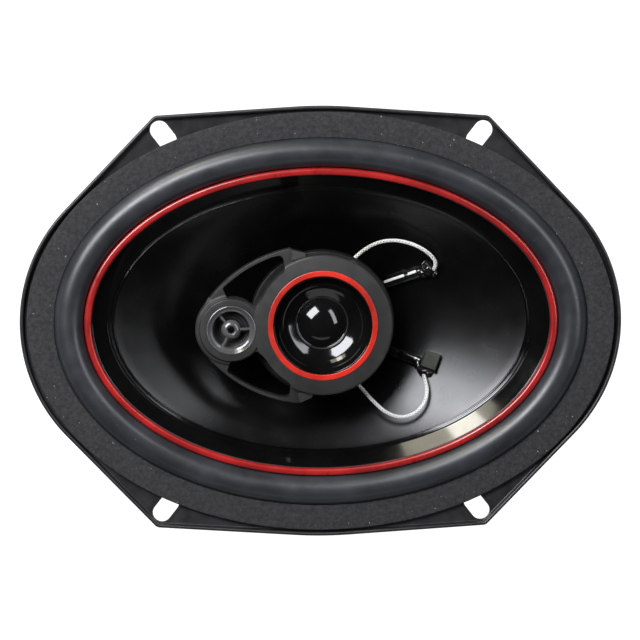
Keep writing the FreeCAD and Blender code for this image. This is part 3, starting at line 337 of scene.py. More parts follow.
def carve(obj, tools, operation="DIFFERENCE"):
    """Cut tools out of a piece, or join them to it, and keep only the result."""
    for tool in tools:
        step = obj.modifiers.new("carve", "BOOLEAN")
        step.operation = operation
        step.solver = "EXACT"
        step.object = tool
    bpy.context.view_layer.update()
    shape = obj.evaluated_get(bpy.context.evaluated_depsgraph_get())
    mesh = bpy.data.meshes.new_from_object(shape)
    name = obj.name
    for used in (obj, *tools):
        bpy.data.objects.remove(used)
    return finish_mesh(mesh, name)


def move(obj, place):
    """Move a piece by a placement in millimetres."""
    obj.data.transform(Matrix.Scale(MM, 4) @ place @ Matrix.Scale(1 / MM, 4))
    return obj


def turn_with_pod(obj):
    """The pod stands turned a little about the speaker's axis."""
    return move(obj, Matrix.Rotation(POD_TURN, 4, "Z"))


# ---- materials

class Surface:
    """A Principled material and the few node chains that these finishes share."""

    def __init__(self, name, colour, roughness, metallic=0.0, coat=0.0, sheen=0.0, specular=0.5):
        self.name = name
        self.material = bpy.data.materials.new(name)
        self.material.use_nodes = True
        self.nodes = self.material.node_tree.nodes
        self.links = self.material.node_tree.links
        self.shader = self.nodes["Principled BSDF"]
        self.colour = colour
        self.roughness = roughness
        for socket, value in (
            ("Base Color", (*colour, 1)), ("Roughness", roughness), ("Metallic", metallic),
            ("Coat Weight", coat), ("Coat Roughness", 0.06), ("Sheen Weight", sheen),
            ("Specular IOR Level", specular),
        ):
            self.shader.inputs[socket].default_value = value
        self.place = self.add("ShaderNodeTexCoord").outputs["Object"]
        self.height = None

    def add(self, kind, **settings):
        node = self.nodes.new(kind)
        for key, value in settings.items():
            setattr(node, key, value)
        return node

    def link(self, source, target):
        self.links.new(source, target)

    def noise(self, per_metre, detail=4.0):
        node = self.add("ShaderNodeTexNoise")
        node.inputs["Scale"].default_value = per_metre
        node.inputs["Detail"].default_value = detail
        self.link(self.place, node.inputs["Vector"])
        return node.outputs["Fac"]

    def cells(self, per_metre):
        node = self.add("ShaderNodeTexVoronoi")
        node.inputs["Scale"].default_value = per_metre
        self.link(self.place, node.inputs["Vector"])
        return node.outputs["Distance"]

    def math(self, operation, first, second):
        node = self.add("ShaderNodeMath", operation=operation)
        for socket, value in zip(node.inputs, (first, second)):
            if isinstance(value, (int, float)):
                socket.default_value = value
            else:
                self.link(value, socket)
        return node.outputs[0]

    def spread(self, value, low, high, out_low, out_high):
        node = self.add("ShaderNodeMapRange")
        self.link(value, node.inputs["Value"])
        for socket, number in zip(("From Min", "From Max", "To Min", "To Max"),
                                  (low, high, out_low, out_high)):
            node.inputs[socket].default_value = number
        return node.outputs["Result"]

    def radius(self):
        """Distance from the speaker's axis."""
        split = self.add("ShaderNodeSeparateXYZ")
        self.link(self.place, split.inputs[0])
        squares = [self.math("POWER", split.outputs[axis], 2.0) for axis in (0, 1)]
        return self.math("SQRT", self.math("ADD", *squares), 0.5)

    def tint(self, amount, low=0.35, high=0.65, darker=0.75, lighter=1.3):
        """Colour that wanders between a darker and a lighter shade."""
        ramp = self.add("ShaderNodeValToRGB")
        for stop, place, share in zip(ramp.color_ramp.elements, (low, high), (darker, lighter)):
            stop.position = place
            stop.color = (*(min(part * share, 1.0) for part in self.colour), 1)
        self.link(amount, ramp.inputs["Fac"])
        self.link(ramp.outputs["Color"], self.shader.inputs["Base Color"])
        self.shade = ramp.outputs["Color"]
        return self

    def speckle(self, amount, threshold, colour):
        """Pale flecks where a noise passes a threshold."""
        mask = self.spread(amount, threshold, threshold + 0.03, 0.0, 1.0)
        mix = self.add("ShaderNodeMix", data_type="RGBA")
        self.link(mask, mix.inputs["Factor"])
        self.link(self.shade, mix.inputs["A"])
        mix.inputs["B"].default_value = (*colour, 1)
        self.link(mix.outputs["Result"], self.shader.inputs["Base Color"])
        self.shade = mix.outputs["Result"]
        return self

    def gloss(self, amount, wander):
        """Roughness that wanders by so much each way."""
        wanders = self.spread(amount, 0.3, 0.7, self.roughness - wander, self.roughness + wander)
        self.link(wanders, self.shader.inputs["Roughness"])
        return self

    def relief(self, amount, depth):
        """Fine relief, its depth in millimetres."""
        bump = self.add("ShaderNodeBump")
        bump.inputs["Distance"].default_value = depth * MM
        self.link(amount, bump.inputs["Height"])
        if self.height:
            self.link(self.height, bump.inputs["Normal"])
        self.link(bump.outputs["Normal"], self.shader.inputs["Normal"])
        self.height = bump.outputs["Normal"]
        return self


def plain(name, colour, roughness, wander=0.05, grain=1500, depth=0.01, blotch=60, **settings):
    """A finish with wandering shade and gloss and a fine relief."""
    made = Surface(name, colour, roughness, **settings)
    made.tint(made.noise(blotch)).gloss(made.noise(blotch * 4), wander)
    return made.relief(made.noise(grain), depth)


def ringed(name, colour, roughness):
    """Ground metal with fine rings round the speaker's axis."""
    pitch, depth = 4000, 0.01
    made = plain(name, colour, roughness, depth=0.004, metallic=1.0)
    rings = made.add("ShaderNodeTexNoise", noise_dimensions="1D")
    made.link(made.radius(), rings.inputs["W"])
    rings.inputs["Scale"].default_value = pitch
    return made.relief(rings.outputs["Fac"], depth)


def make_foam():
    """The gasket: pale flecks on a dark pitted sheet."""
    foam = Surface("gasket_rubber", (0.0225, 0.0222, 0.023), 0.85, specular=0.25)
    foam.tint(foam.noise(700), 0.3, 0.7, 0.7, 1.45).gloss(foam.noise(1200), 0.1)
    foam.speckle(foam.noise(900, 1.0), 0.76, (0.3, 0.3, 0.3))
    return foam.relief(foam.cells(1600), 0.12).relief(foam.noise(320), 0.12)


def make_cloth():
    """The spider: a woven, varnished cloth."""
    cloth = Surface("spider_cloth", (0.5, 0.33, 0.09), 0.75, sheen=0.2)
    weave = cloth.math("MULTIPLY", *(woven(cloth, axis) for axis in (0, 1)))
    return cloth.tint(cloth.noise(120)).relief(weave, 0.12).relief(cloth.noise(2500), 0.03)


def make_flecked(look, fineness, threshold, colour):
    """A finish with pale flecks of the given fineness."""
    return look.speckle(look.noise(fineness, 1.0), threshold, colour)


def make_blacks():
    """Paint, cone, glue and plastics, and a greenish grey painted reflection for the lower glue cap."""
    return [
        plain("basket_paint", (0.009, 0.009, 0.0095), 0.42, 0.06, 900, 0.02),
        make_flecked(plain("surround_rubber", (0.021, 0.0225, 0.026), 0.36, 0.04, 2400, 0.01),
                     1300, 0.79, (0.2, 0.2, 0.2)),
        plain("cone_satin", (0.001, 0.001, 0.001), 0.26, 0.02, 3000, 0.003, 30, specular=0.42),
        plain("cone_gloss", (0.002, 0.002, 0.002), 0.1, 0.02, 300, 0.003, coat=0.4),
        plain("glue_black", (0.004, 0.004, 0.004), 0.12, 0.03, 420, 0.05, coat=0.5),
        # greenish grey painted over the lower joint's cap: a painted reflection standing in for the light its top
        # reflects
        plain("glue_painted_reflection", (0.035, 0.038, 0.03), 0.3, 0.08),
        plain("pod_plastic", (0.016, 0.016, 0.0155), 0.42, 0.03, 2200, 0.01),
        plain("cover_plastic", (0.003, 0.003, 0.003), 0.45, 0.05, 1800, 0.01, specular=0.3),
        plain("horn_gloss", (0.003, 0.003, 0.003), 0.09, 0.02, 200, 0.004),
        plain("grille_gloss", (0.06, 0.06, 0.06), 0.2, 0.04, coat=0.5),
        plain("dome_film", (0.004, 0.004, 0.004), 0.08, 0.02, 200, 0.004),
        plain("tweeter_rubber", (0.012, 0.012, 0.012), 0.3),
        plain("paper_film", (0.012, 0.012, 0.012), 0.4, 0.08, 900, 0.05),
        make_flecked(plain("ferrite", (0.03, 0.03, 0.033), 0.55, 0.08, 700, 0.05),
                     2600, 0.72, (0.12, 0.12, 0.12)),
    ]


def make_colours():
    """The red rings, the board, films and sleeves, and the leads' strands with painted shade in the gaps between them.
    """
    return [
        plain("trim_red", (0.26, 0.009, 0.008), 0.3, 0.04, 260, 0.02, coat=0.35),
        plain("ring_red", (0.4, 0.014, 0.006), 0.38, 0.05, 1200, 0.01),
        plain("former_film", (0.33, 0.13, 0.03), 0.35),
        plain("capacitor_sleeve", (0.01, 0.014, 0.05), 0.35),
        make_flecked(plain("phenolic", (0.2, 0.085, 0.03), 0.5, 0.08, 1400, 0.03),
                     1900, 0.7, (0.34, 0.17, 0.07)),
        plain("braid", (0.85, 0.84, 0.76), 0.42, 0.08, metallic=0.2),
        # a near black for the core under the strands: painted shade that shows in the gaps of the braid
        plain("braid_gap_painted_shade", (0.03, 0.029, 0.026), 0.7),
        plain("bare_wire", (0.8, 0.8, 0.8), 0.35, metallic=0.3),
    ]


def make_metals():
    return [
        plain("copper_wire", (0.75, 0.3, 0.14), 0.3, metallic=1.0),
        plain("rivet_steel", (0.58, 0.58, 0.57), 0.3, 0.06, metallic=1.0),
        plain("neodymium", (0.66, 0.65, 0.62), 0.2, metallic=1.0),
        plain("tinned_brass", (0.72, 0.66, 0.5), 0.28, 0.08, metallic=1.0),
        ringed("plated_steel", (0.5, 0.5, 0.48), 0.34),
        ringed("stem_metal", (0.6, 0.6, 0.62), 0.32),
        ringed("piezo_brass", (0.7, 0.5, 0.2), 0.3),
    ]


def make_materials():
    looks = [make_foam(), make_cloth(), *make_blacks(), *make_colours(), *make_metals()]
    return {look.name: look.material for look in looks}


def woven(look, axis):
    """Threads across one axis."""
    split = look.add("ShaderNodeSeparateXYZ")
    look.link(look.place, split.inputs[0])
    wave = look.math("SINE", look.math("MULTIPLY", split.outputs[axis], FULL / (1.1 * MM)), 0.0)
    return look.spread(wave, -1.0, 1.0, 0.0, 1.0)


def dress(obj, body, slot, *nodes, look=None):
    """Give a piece its material, its body and the CAD nodes that it stands for."""
    obj.data.materials.clear()
    obj.data.materials.append(LOOKS[look or slot])
    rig.slot(obj, slot)
    if nodes:
        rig.replaces(obj, *nodes)
    if body:
        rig.ride(obj, body)
    return obj


def bend_by(obj, other, share):
    """Let a piece bend from the frame to another body; share(point) is 0 to 1."""
    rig.blend(obj, "frame", other, start=(0, 0, 0), end=(0, 0, 0.01))
    weights = [share(vertex.co / MM) for vertex in obj.data.vertices]
    obj.data.attributes["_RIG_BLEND"].data.foreach_set("value", weights)
    return obj


def smooth_step(value):
    value = min(max(value, 0.0), 1.0)
    return value * value * (3 - 2 * value)


# ---- frame

POD_TURN = radians(2.8)
MOUTH = (103.4, 72.0)
KNEE = (94.0, 62.0)
CORNER_ARC, END_ARC, SIDE_ARC = 3.0, 63.16, 168.0
CORNER = (62.64, 76.71)
SLOT = (62.0, 74.1)
SLOT_RADIUS, SLOT_RUN, SLOT_TURN = 3.6, 4.8, 52.0
BEAD = (82.0, 51.4)


def outline_stations():
    """(place, outward) round the frame's outline: eight arcs and their tangent lines."""
    high = reach("basket")[1]
    end, side = high.x - END_ARC, high.y - SIDE_ARC
    circles = []
    for way_x, way_y, kind in ((1, 0, "end"), (1, 1, "corner"), (0, 1, "side"), (-1, 1, "corner"),
                               (-1, 0, "end"), (-1, -1, "corner"), (0, -1, "side"),
                               (1, -1, "corner")):
        place, radius, steps = {
            "end": ((end * way_x, 0), END_ARC, 110),
            "side": ((0, side * way_y), SIDE_ARC, 70),
            "corner": ((CORNER[0] * way_x, CORNER[1] * way_y), CORNER_ARC, 12),
        }[kind]
        circles.append((Vector((*place, 0)), radius, steps))

    def heading(before, after):
        step = after[0] - before[0]
        return atan2(step.y, step.x) - acos((before[1] - after[1]) / step.length)

    arcs = []
    for number, circle in enumerate(circles):
        centre, radius, steps = circle
        first = heading(circles[number - 1], circle)
        last = heading(circle, circles[(number + 1) % len(circles)])
        turn = (last - first + pi) % FULL - pi
        points = []
        for step in range(steps + 1):
            angle = first + turn * step / steps
            normal = Vector((cos(angle), sin(angle), 0))
            points.append((centre + normal * radius, normal))
        arcs.append(points)
    stations, parts = [], 12
    for number, points in enumerate(arcs):
        start, normal = points[-1]
        ahead = arcs[(number + 1) % len(arcs)][0][0]
        stations += points
        stations += [(start.lerp(ahead, part / parts), normal) for part in range(1, parts)]
    return stations


def basket_section(place, outward):
    """The pressed sheet's section: lip, flange, wall, shelf, neck and bottom."""
    turn = atan2(place.y / MOUTH[1], place.x / MOUTH[0])
    low, high = reach("basket")
    lip, sheet, shelf = high.z, 1.0, -28.2

    def rim(inset, height):
        return place - outward * inset + Vector((0, 0, height))

    def oval(halves, grow, height):
        return on_ellipse((halves[0] + grow, halves[1] + grow), turn, height)

    def round_at(radius, height):
        return on_ellipse((radius, radius), turn, height)

    return [
        (rim(0, 0), 0.5), (rim(0, lip), 0.65), (rim(1.4, lip), 0.65), (rim(1.4, sheet), 0.5),
        (oval(MOUTH, 0, sheet), 1.6), (oval(KNEE, 0, -13), 4.0), (round_at(49.2, shelf), 1.0),
        (round_at(40, shelf), 0.9), (round_at(40, -37), 0.9), (round_at(15.8, -37), 0.2),
        (round_at(15.8, low.z), 0.2), (round_at(41.2, low.z), 1.6), (round_at(41.2, -29.4), 0.5),
        (round_at(50.2, -29.4), 1.2), (oval(KNEE, 0.8, -14), 4.5), (oval(MOUTH, 0.8, 0), 0.8),
    ]


def slot_outline(way_x, way_y):
    """A slanted mounting slot: two half circles joined by straight sides."""
    run = radians(SLOT_TURN)
    outer = (SLOT[0] * way_x, SLOT[1] * way_y)
    step = (SLOT_RUN * cos(run) * way_x, SLOT_RUN * sin(run) * way_y)
    inner = (outer[0] - step[0], outer[1] - step[1])
    heading = degrees(atan2(step[1], step[0]))
    return (arc(outer, SLOT_RADIUS, heading - 90, heading + 90)
            + arc(inner, SLOT_RADIUS, heading + 90, heading + 270))


def window_outline(middle):
    """One basket window, between two spokes."""
    half, steps = 16, 10
    turns = [radians(middle - half + 2 * half * step / steps) for step in range(steps + 1)]
    near = [on_ellipse((54, 54), turn, 0) for turn in turns]
    far = [on_ellipse((98, 66.5), turn, 0) for turn in reversed(turns)]
    ends = (0, steps, steps + 1, 2 * steps + 1)
    return rounded([(point, 3.0 if number in ends else 0)
                    for number, point in enumerate(near + far)])


def make_basket():
    loops = [rounded(basket_section(*station)) for station in outline_stations()]
    shell = skin("basket_shell", loops)
    windows = [prism(f"window{number}", window_outline(22.5 + 45 * number), -36, -2)
               for number in range(8)]
    slots = [prism(f"slot{way_x}{way_y}", slot_outline(way_x, way_y), -2, 2.5)
             for way_x in (1, -1) for way_y in (1, -1)]
    shell = carve(shell, [combine("openings", windows + slots)])
    dress(shell, "frame", "basket_paint", "basket")


def make_gasket():
    low, high = reach("front_gasket")
    inner, inner_top = (103.2, 71.6), (102.75, 71.13)

    def section(turn):
        wander = 0.12 * noise.noise(Vector((3 * cos(turn), 3 * sin(turn), 5)))
        outer = (high.x - 0.15 + wander, high.y - 0.15 + wander)
        return [
            (on_ellipse(outer, turn, low.z), 0.1), (on_ellipse(outer, turn, high.z), 0.5),
            (on_ellipse(inner_top, turn, high.z), 0.3), (on_ellipse(inner, turn, low.z), 0.1),
        ]

    dress(loft("gasket_ring", section, 480), "frame", "gasket_rubber", "front_gasket")


# ---- moving cone

ROLL = (97.25, 65.65)
ROLL_OUT, ROLL_IN = 5.85, 5.25
LANDING_Z, LANDING_TOP = 1.0, 1.6


def make_surround():
    steps = 28

    def middle_and_across(turn):
        across = Vector((ROLL[1] * cos(turn), ROLL[0] * sin(turn), 0))
        return on_ellipse(ROLL, turn, 0), across.normalized()

    def section(turn):
        middle, across = middle_and_across(turn)

        def at(out, up):
            return middle + across * out + Vector((0, 0, up))

        lean = asin((LANDING_TOP - LANDING_Z) / ROLL_OUT)
        crest = [lean + (pi - 2 * lean) * step / steps for step in range(steps + 1)]
        hollow = [pi - pi * step / steps for step in range(steps + 1)]
        roll = [(at(ROLL_OUT * cos(angle), LANDING_Z + ROLL_OUT * sin(angle)), 0)
                for angle in crest]
        under = [(at(ROLL_IN * cos(angle), LANDING_Z + ROLL_IN * sin(angle)), 0)
                 for angle in hollow]
        return [
            (at(15.2, LANDING_Z), 0.1), (at(15.2, LANDING_TOP), 0.1), *roll,
            (at(-8.85, LANDING_TOP), 0.25), (at(-8.85, LANDING_Z), 0.1), *under,
        ]

    roll = loft("surround_roll", section, 480)
    dress(roll, None, "surround_rubber", "surround")

    def share(point):
        """How far a point follows the cone, by its place across the roll."""
        middle, across = middle_and_across(atan2(point.y / ROLL[1], point.x / ROLL[0]))
        out = (Vector((point.x, point.y, 0)) - middle).dot(across)
        return smooth_step((ROLL_OUT - out) / (2 * ROLL_OUT))

    bend_by(roll, "cone_assembly", share)


def between(first, middle, last, share):
    """The value at a share of the way along a smooth curve through three values."""
    knot = 0.427
    return (first * (share - knot) * (share - 1) / knot
            + middle * share * (share - 1) / (knot * (knot - 1))
            + last * share * (share - knot) / (1 - knot))


def make_cone():
    paper, steps = 0.7, 26
    throat, waist = 12.9, (42.0, 30.5)
    bead_z, waist_z, throat_z = -3.5, -15.5, -24.0

    def curve(turn, share, grow, drop):
        halves = [between(throat + grow, waist[axis], BEAD[axis] + grow, share) for axis in (0, 1)]
        return on_ellipse(halves, turn, between(throat_z, waist_z, bead_z, share) - drop)

    def section(turn):
        top = [(curve(turn, step / steps, 0, 0), 0) for step in range(steps - 1)]
        ridges = [(curve(turn, share, 0, -lift), 0.1) for share, lift in (
            (0.970, 0), (0.974, 0.3), (0.979, 0.3), (0.983, 0), (0.990, 0), (0.994, 0.35),
            (1.000, 0.35),
        )]
        collar = [
            (on_ellipse((82.6, 51.93), turn, bead_z + 0.4), 0.2),
            (on_ellipse((88.2, 56.9), turn, 1.0), 0.4),
            (on_ellipse((91.6, 60.0), turn, 1.0), 0.1),
            (on_ellipse((91.6, 60.0), turn, 0.3), 0.1),
            (on_ellipse((88.9, 57.6), turn, 0.3), 0.4),
        ]
        under = [(curve(turn, 1 - step / steps, paper, paper), 0) for step in range(steps + 1)]
        neck = [
            (on_ellipse((throat + paper,) * 2, turn, -26.7), 0.1),
            (on_ellipse((throat,) * 2, turn, -26.7), 0.1),
        ]
        return top + ridges + collar + under + neck

    cone = loft("cone_shell", section, 480)
    dress(cone, "cone_assembly", "cone_black", "cone", look="cone_satin")
    cone.data.materials.append(LOOKS["cone_gloss"])
    for face in cone.data.polygons:
        spot = face.center / MM
        outside = hypot(spot.x / (BEAD[0] * 0.977), spot.y / (BEAD[1] * 0.977)) > 1
        face.material_index = 1 if outside and spot.z > bead_z - 0.9 else 0


def make_cone_trim():
    low, high = reach("cone_trim_ring")
    wide = 2.8

    def section(turn):
        outer, inner = (high.x, high.y), (high.x - wide, high.y - wide)
        return [
            (on_ellipse(outer, turn, low.z), 0.2), (on_ellipse(outer, turn, high.z), 1.3),
            (on_ellipse(inner, turn, high.z), 1.3), (on_ellipse(inner, turn, low.z), 0.2),
        ]

    dress(loft("red_cone_trim", section, 480), "cone_assembly", "trim_red", "cone_trim_ring")


def make_spider():
    inner, outer, middle = 12.9, 48.2, -27.975
    first, pitch, cloth, steps = 15.9, 3.6, 0.225, 70

    def height(radius):
        if not first < radius < first + 7 * pitch:
            return middle
        return middle + sin(pi * (radius - first) / pitch)

    radii = [inner + (outer - inner) * step / steps for step in range(steps + 1)]
    upper = [(radius, height(radius) + cloth, 0) for radius in radii]
    lower = [(radius, height(radius) - cloth, 0) for radius in reversed(radii)]
    spider = turned("spider_cloth_disc", upper + lower)
    dress(spider, None, "spider_cloth", "spider")
    bend_by(spider, "cone_assembly",
            lambda point: smooth_step((46 - hypot(point.x, point.y)) / 30))


def make_voice_coil():
    low, high = reach("voice_coil_former")
    former = turned("coil_former", (
        (12.75, low.z, 0), (12.9, low.z, 0), (12.9, high.z, 0), (12.75, high.z, 0)))
    dress(former, "cone_assembly", "former_film", "voice_coil_former")
    low, high = reach("voice_coil_winding")
    strands = 30
    pitch = (high.z - low.z) / strands
    rows = []
    for strand in range(strands):
        rows += [(13.28, low.z + pitch * strand, 0), (13.4, low.z + pitch * (strand + 0.5), 0)]
    winding = turned("coil_winding", [(12.9, high.z, 0), (12.9, low.z, 0), *rows, (13.28, high.z, 0)])
    dress(winding, "cone_assembly", "copper_wire", "voice_coil_winding")


# ---- motor

PLATE_EDGE = 0.8


def make_top_plate():
    low, high = reach("top_plate")
    dress(turned("steel_top_plate", (
        (13.8, low.z, 0.1), (high.x, low.z, PLATE_EDGE), (high.x, high.z, PLATE_EDGE),
        (13.8, high.z, 0.1),
    )), "frame", "plated_steel", "top_plate")


def make_magnet():
    low, high = reach("ferrite_magnet")
    dress(turned("ferrite_ring", (
        (17, low.z, 0.3), (high.x, low.z, 1.2), (high.x, high.z, 1.2), (17, high.z, 0.3),
    )), "frame", "ferrite", "ferrite_magnet")


def make_back_plate():
    low, high = reach("back_plate_and_pole")
    plate_top = low.z + 5
    dress(turned("steel_back_plate", (
        (4.5, low.z, 0.3), (25.6, low.z, 0.2), (26, low.z + 0.25, 0.1), (26.8, low.z + 0.25, 0.1),
        (27.2, low.z, 0.2), (high.x, low.z, 1.1), (high.x, plate_top, PLATE_EDGE),
        (12.2, plate_top, 0.6), (12.2, high.z, 0.6), (2.2, high.z, 0.3), (2.2, low.z + 3.4, 0.1),
        (4.5, low.z + 3.4, 0.1),
    )), "frame", "plated_steel", "back_plate_and_pole")


def make_pod_bolt():
    low, high = reach("pod_bolt")
    bolt = turned("pod_bolt_screw", (
        (0, low.z, 0), (3.4, low.z, 0.5), (3.9, low.z + 0.6, 0.2), (3.9, low.z + 2.6, 0.1),
        (2, low.z + 2.6, 0.1), (2, high.z, 0.3), (0, high.z, 0),
    ), turns=96)
    socket = prism("hex_socket", arc((0, 0), 1.5, 0, 300, 5), low.z - 0.5, low.z + 1.2)
    dress(carve(bolt, [socket]), "frame", "rivet_steel", "pod_bolt")


def make_pod_stem():
    low, high = reach("pod_stem")
    dress(turned("pod_stem_column", (
        (2, low.z, 0.2), (6, low.z, 0.4), (6, -9.4, 0.3), (4, -9.4, 0.1), (4, high.z, 0.4),
        (0, high.z, 0), (0, low.z + 12, 0), (2, low.z + 12, 0.2),
    ), turns=128), "frame", "stem_metal", "pod_stem")


def make_frame_rivets():
    low, high = reach("basket_rivets")
    heads = []
    for number in range(4):
        turn = radians(45 + 90 * number)
        heads.append(turned(f"rivet{number}", (
            (0, high.z, 0), (2.2, high.z, 0.6), (3.2, high.z - 1.1, 0.2), (2, high.z - 1.1, 0.1),
            (2, low.z, 0.3), (0, low.z, 0),
        ), (30 * cos(turn), 30 * sin(turn)), 48))
    dress(combine("frame_rivets", heads), "frame", "rivet_steel", "basket_rivets")


# ---- pod

SATELLITE = (-35.04, 0.0)
ARM_CENTRE = (-3.1, -22.25)


def mirrored(points):
    return [Vector((point.x, -point.y, point.z)) for point in reversed(points)]


def pod_window():
    """The opening between an upper arm, the round face and the satellite."""
    def plain_points(points):
        return [(point, 0) for point in points]

    def corner(x, y, radius):
        return [(Vector((x, y, 0)), radius)]

    return rounded(
        plain_points(arc((0, 0), 25.3, 153, 124, 16)) + corner(-13.3, 22.3, 1.5)
        + corner(-13.9, 27.6, 2.2) + plain_points(arc(ARM_CENTRE, 51.4, 106.5, 128, 20))
        + corner(-37.6, 16.1, 1.2) + corner(-36.0, 12.1, 1.2)
        + plain_points(arc(SATELLITE, 12.3, 86, 52, 10)) + corner(-25.6, 8.3, 1.5)
    )


def pod_outline():
    """The arms' and the round face's outer edge, all the way round."""
    upper = (
        arc((0, 0), 26.6, 0, 101, 60) + arc(ARM_CENTRE, 52.7, 98.5, 137.5, 30)
        + arc(SATELLITE, 13.7, 140, 180, 14)
    )
    lower = mirrored(upper)[1:-1]
    return upper + lower


def make_pod_housing():
    foot, top = 2.6, 12.6
    face = turned("pod_moulding", (
        (0, foot, 0), (26.9, foot, 0.4), (26.9, 11.5, 0.2), (26.3, 12.1, 0.2), (21.3, top, 0.2),
        (0, top, 0),
    ), turns=200)
    plate = prism("pod_plate", pod_outline(), 3.0, 9.4, 0.5)
    base = turned("satellite_base", (
        (0, foot + 0.01, 0), (13.7, foot + 0.01, 0.3), (13.7, 9.8, 0.3), (13.1, 10.4, 0.3),
        (12.35, 10.4, 0.2), (11.8, 12.0, 0.25), (0, 12.0, 0),
    ), SATELLITE, 160)
    bridge = prism("pod_bridge", rounded([
        (Vector((-30.5, 10.6, 0)), 0.5), (Vector((-30.5, -10.6, 0)), 0.5),
        (Vector((-22.5, -11.4, 0)), 0.5), (Vector((-22.5, 11.4, 0)), 0.5)]), 3.01, 11.2, 0.4)
    body = carve(plate, [face, base, bridge], "UNION")
    window = pod_window()
    cutters = [
        prism("upper_window", window, 2, 14), prism("lower_window", mirrored(window), 2, 14),
        turned("bore", ((0, 0, 0), (24.9, 0, 0), (24.9, 10.3, 0), (0, 10.3, 0)), turns=200),
        turned("eye", ((0, 9, 0), (21.05, 9, 0), (21.05, 14, 0), (0, 14, 0)), turns=200),
        turned("well", ((0, 0, 0), (10.6, 0, 0), (10.6, 7.6, 0), (0, 7.6, 0)), SATELLITE),
        turned("mouth", ((0, 5, 0), (9.5, 5, 0), (9.5, 15, 0), (0, 15, 0)), SATELLITE),
    ]
    body = carve(body, cutters)
    fins = []
    for way in (1, -1):
        fins.append(make_fin(f"face_fin{way}", way, (
            (-10.3, 29.4, 11.6), (-10.6, 25.4, 11.6), (-5.0, 26.4, 9.2), (-5.4, 27.9, 9.0))))
        fins.append(make_fin(f"satellite_fin{way}", way, (
            (-43.0, 12.6, 9.0), (-45.6, 8.4, 9.2), (-44.0, 7.6, 10.2), (-40.0, 10.6, 10.4))))
    body = carve(body, fins, "UNION")
    dress(turn_with_pod(body), "frame", "pod_plastic", "pod_housing")


def make_fin(name, way, corners):
    """A small web with a sloping top, where an arm meets a round part."""
    low = [Vector((x, way * y, 4.0)) for x, y, _ in corners]
    high = [Vector((x, way * y, height)) for x, y, height in corners]
    return skin(name, [low, high], closed=False)


def make_rear_cover():
    low, high = reach("pod_rear_cover")
    cover = turned("pod_back_cover", (
        (4, low.z, 0.2), (14, low.z, 2.0), (26, -4.4, 2.0), (28, -3, 1.0), (28, 1.7, 0.3),
        (27.4, high.z, 0.4), (25.1, high.z, 0.2), (25.1, -2.6, 1.0), (13.4, -7.8, 1.5),
        (4, -7.8, 0.2),
    ), turns=200)
    dress(cover, "frame", "cover_plastic", "pod_rear_cover")


def make_satellite_cap():
    low, high = reach("satellite_cap")
    cap = turned("satellite_back_cap", (
        (0, low.z, 0), (10.6, low.z, 0.3), (10.6, high.z, 0.1), (0, high.z, 0)), SATELLITE)
    dress(turn_with_pod(cap), "frame", "cover_plastic", "satellite_cap")


def make_tweeter_ring():
    low, high = reach("tweeter_trim_ring")
    ring = turned("red_tweeter_ring", (
        (18.95, low.z, 0.1), (21.05, low.z, 0.1), (21.05, high.z - 0.1, 0.25),
        (20.8, high.z, 0.3), (19.2, high.z, 0.3), (18.95, high.z - 0.1, 0.25),
    ), turns=240)
    dress(ring, "frame", "ring_red", "tweeter_trim_ring")


def make_horn():
    horn = turned("tweeter_horn", (
        (18.95, 11.3, 0.05), (18.95, 12.4, 0.2), (18.4, 12.5, 0.3), (17.35, 9.3, 5.0),
        (14.6, 6.2, 9.0), (10.4, 4.4, 0.3), (10.4, 3.4, 0.1),
        (15.5, 4.9, 1.0), (18.85, 8, 1.0), (24.9, 8, 0.3), (24.9, 10.3, 0.1), (21.05, 10.3, 0),
        (21.05, 11.3, 0),
    ), turns=240)
    dress(horn, "frame", "horn_gloss", "tweeter_waveguide")


def make_dome():
    half, tall, foot, foil = 9.4, 3.6, 3.4, 0.3
    ball = (half ** 2 + tall ** 2) / (2 * tall)
    middle = foot + tall - ball
    spans = [asin(half / ball) * step / 24 for step in range(25)]
    outside = [(ball * sin(span), middle + ball * cos(span), 0) for span in spans]
    inside = [((ball - foil) * sin(span), middle + (ball - foil) * cos(span), 0)
              for span in reversed(spans[:-2])]
    dome = turned("tweeter_dome_cap", [*outside, (9.6, foot + 0.1, 0.05), (9.6, foot, 0.05),
                                       (8.9, foot, 0.05), *inside], turns=192)
    dress(dome, "tweeter_dome_assembly", "dome_film", "tweeter_dome")


def make_dome_roll():
    roll = [(10.0 + 0.42 * cos(angle), 3.42 + 0.48 * sin(angle), 0)
            for angle in (pi * step / 12 for step in range(13))]
    ring = turned("tweeter_dome_roll", [
        (9.45, 3.1, 0), (11.6, 3.1, 0), (11.6, 3.4, 0), *roll, (9.45, 3.4, 0)], turns=192)
    dress(ring, None, "tweeter_rubber", "tweeter_surround")
    bend_by(ring, "tweeter_dome_assembly",
            lambda point: smooth_step((10.5 - hypot(point.x, point.y)) / 1.0))


def make_grille():
    high = reach("supertweeter_grille")[1]
    bezel = turned("satellite_grille", (
        (6.9, 8.0, 0.2), (9.4, 8.0, 0.1), (9.4, 12.15, 0.2), (9.0, high.z, 0.2), (8.0, 11.3, 0.6),
        (7.2, 10.9, 0.4), (6.9, 9.6, 0.3),
    ), SATELLITE, 160)
    hub = turned("hub", (
        (1.3, 8.2, 0.1), (3.8, 8.2, 0.3), (3.8, 9.4, 1.2), (3.0, 10.7, 1.6), (1.9, 11.1, 0.4),
        (1.3, 10.5, 0.4),
    ), SATELLITE, 96)
    spokes = []
    for number, around in enumerate((0, 125, 240)):
        turn = Matrix.Rotation(radians(around), 4, "Z")
        shift = Matrix.Translation((*SATELLITE, 9.15)) @ turn @ Matrix.Translation((5.4, 0, 0))
        spokes.append(block(f"spoke{number}", (4.0, 1.0, 1.7), 0.3, shift))
    grille = carve(bezel, [hub, *spokes], "UNION")
    dress(turn_with_pod(grille), "frame", "horn_gloss", "supertweeter_grille", look="grille_gloss")


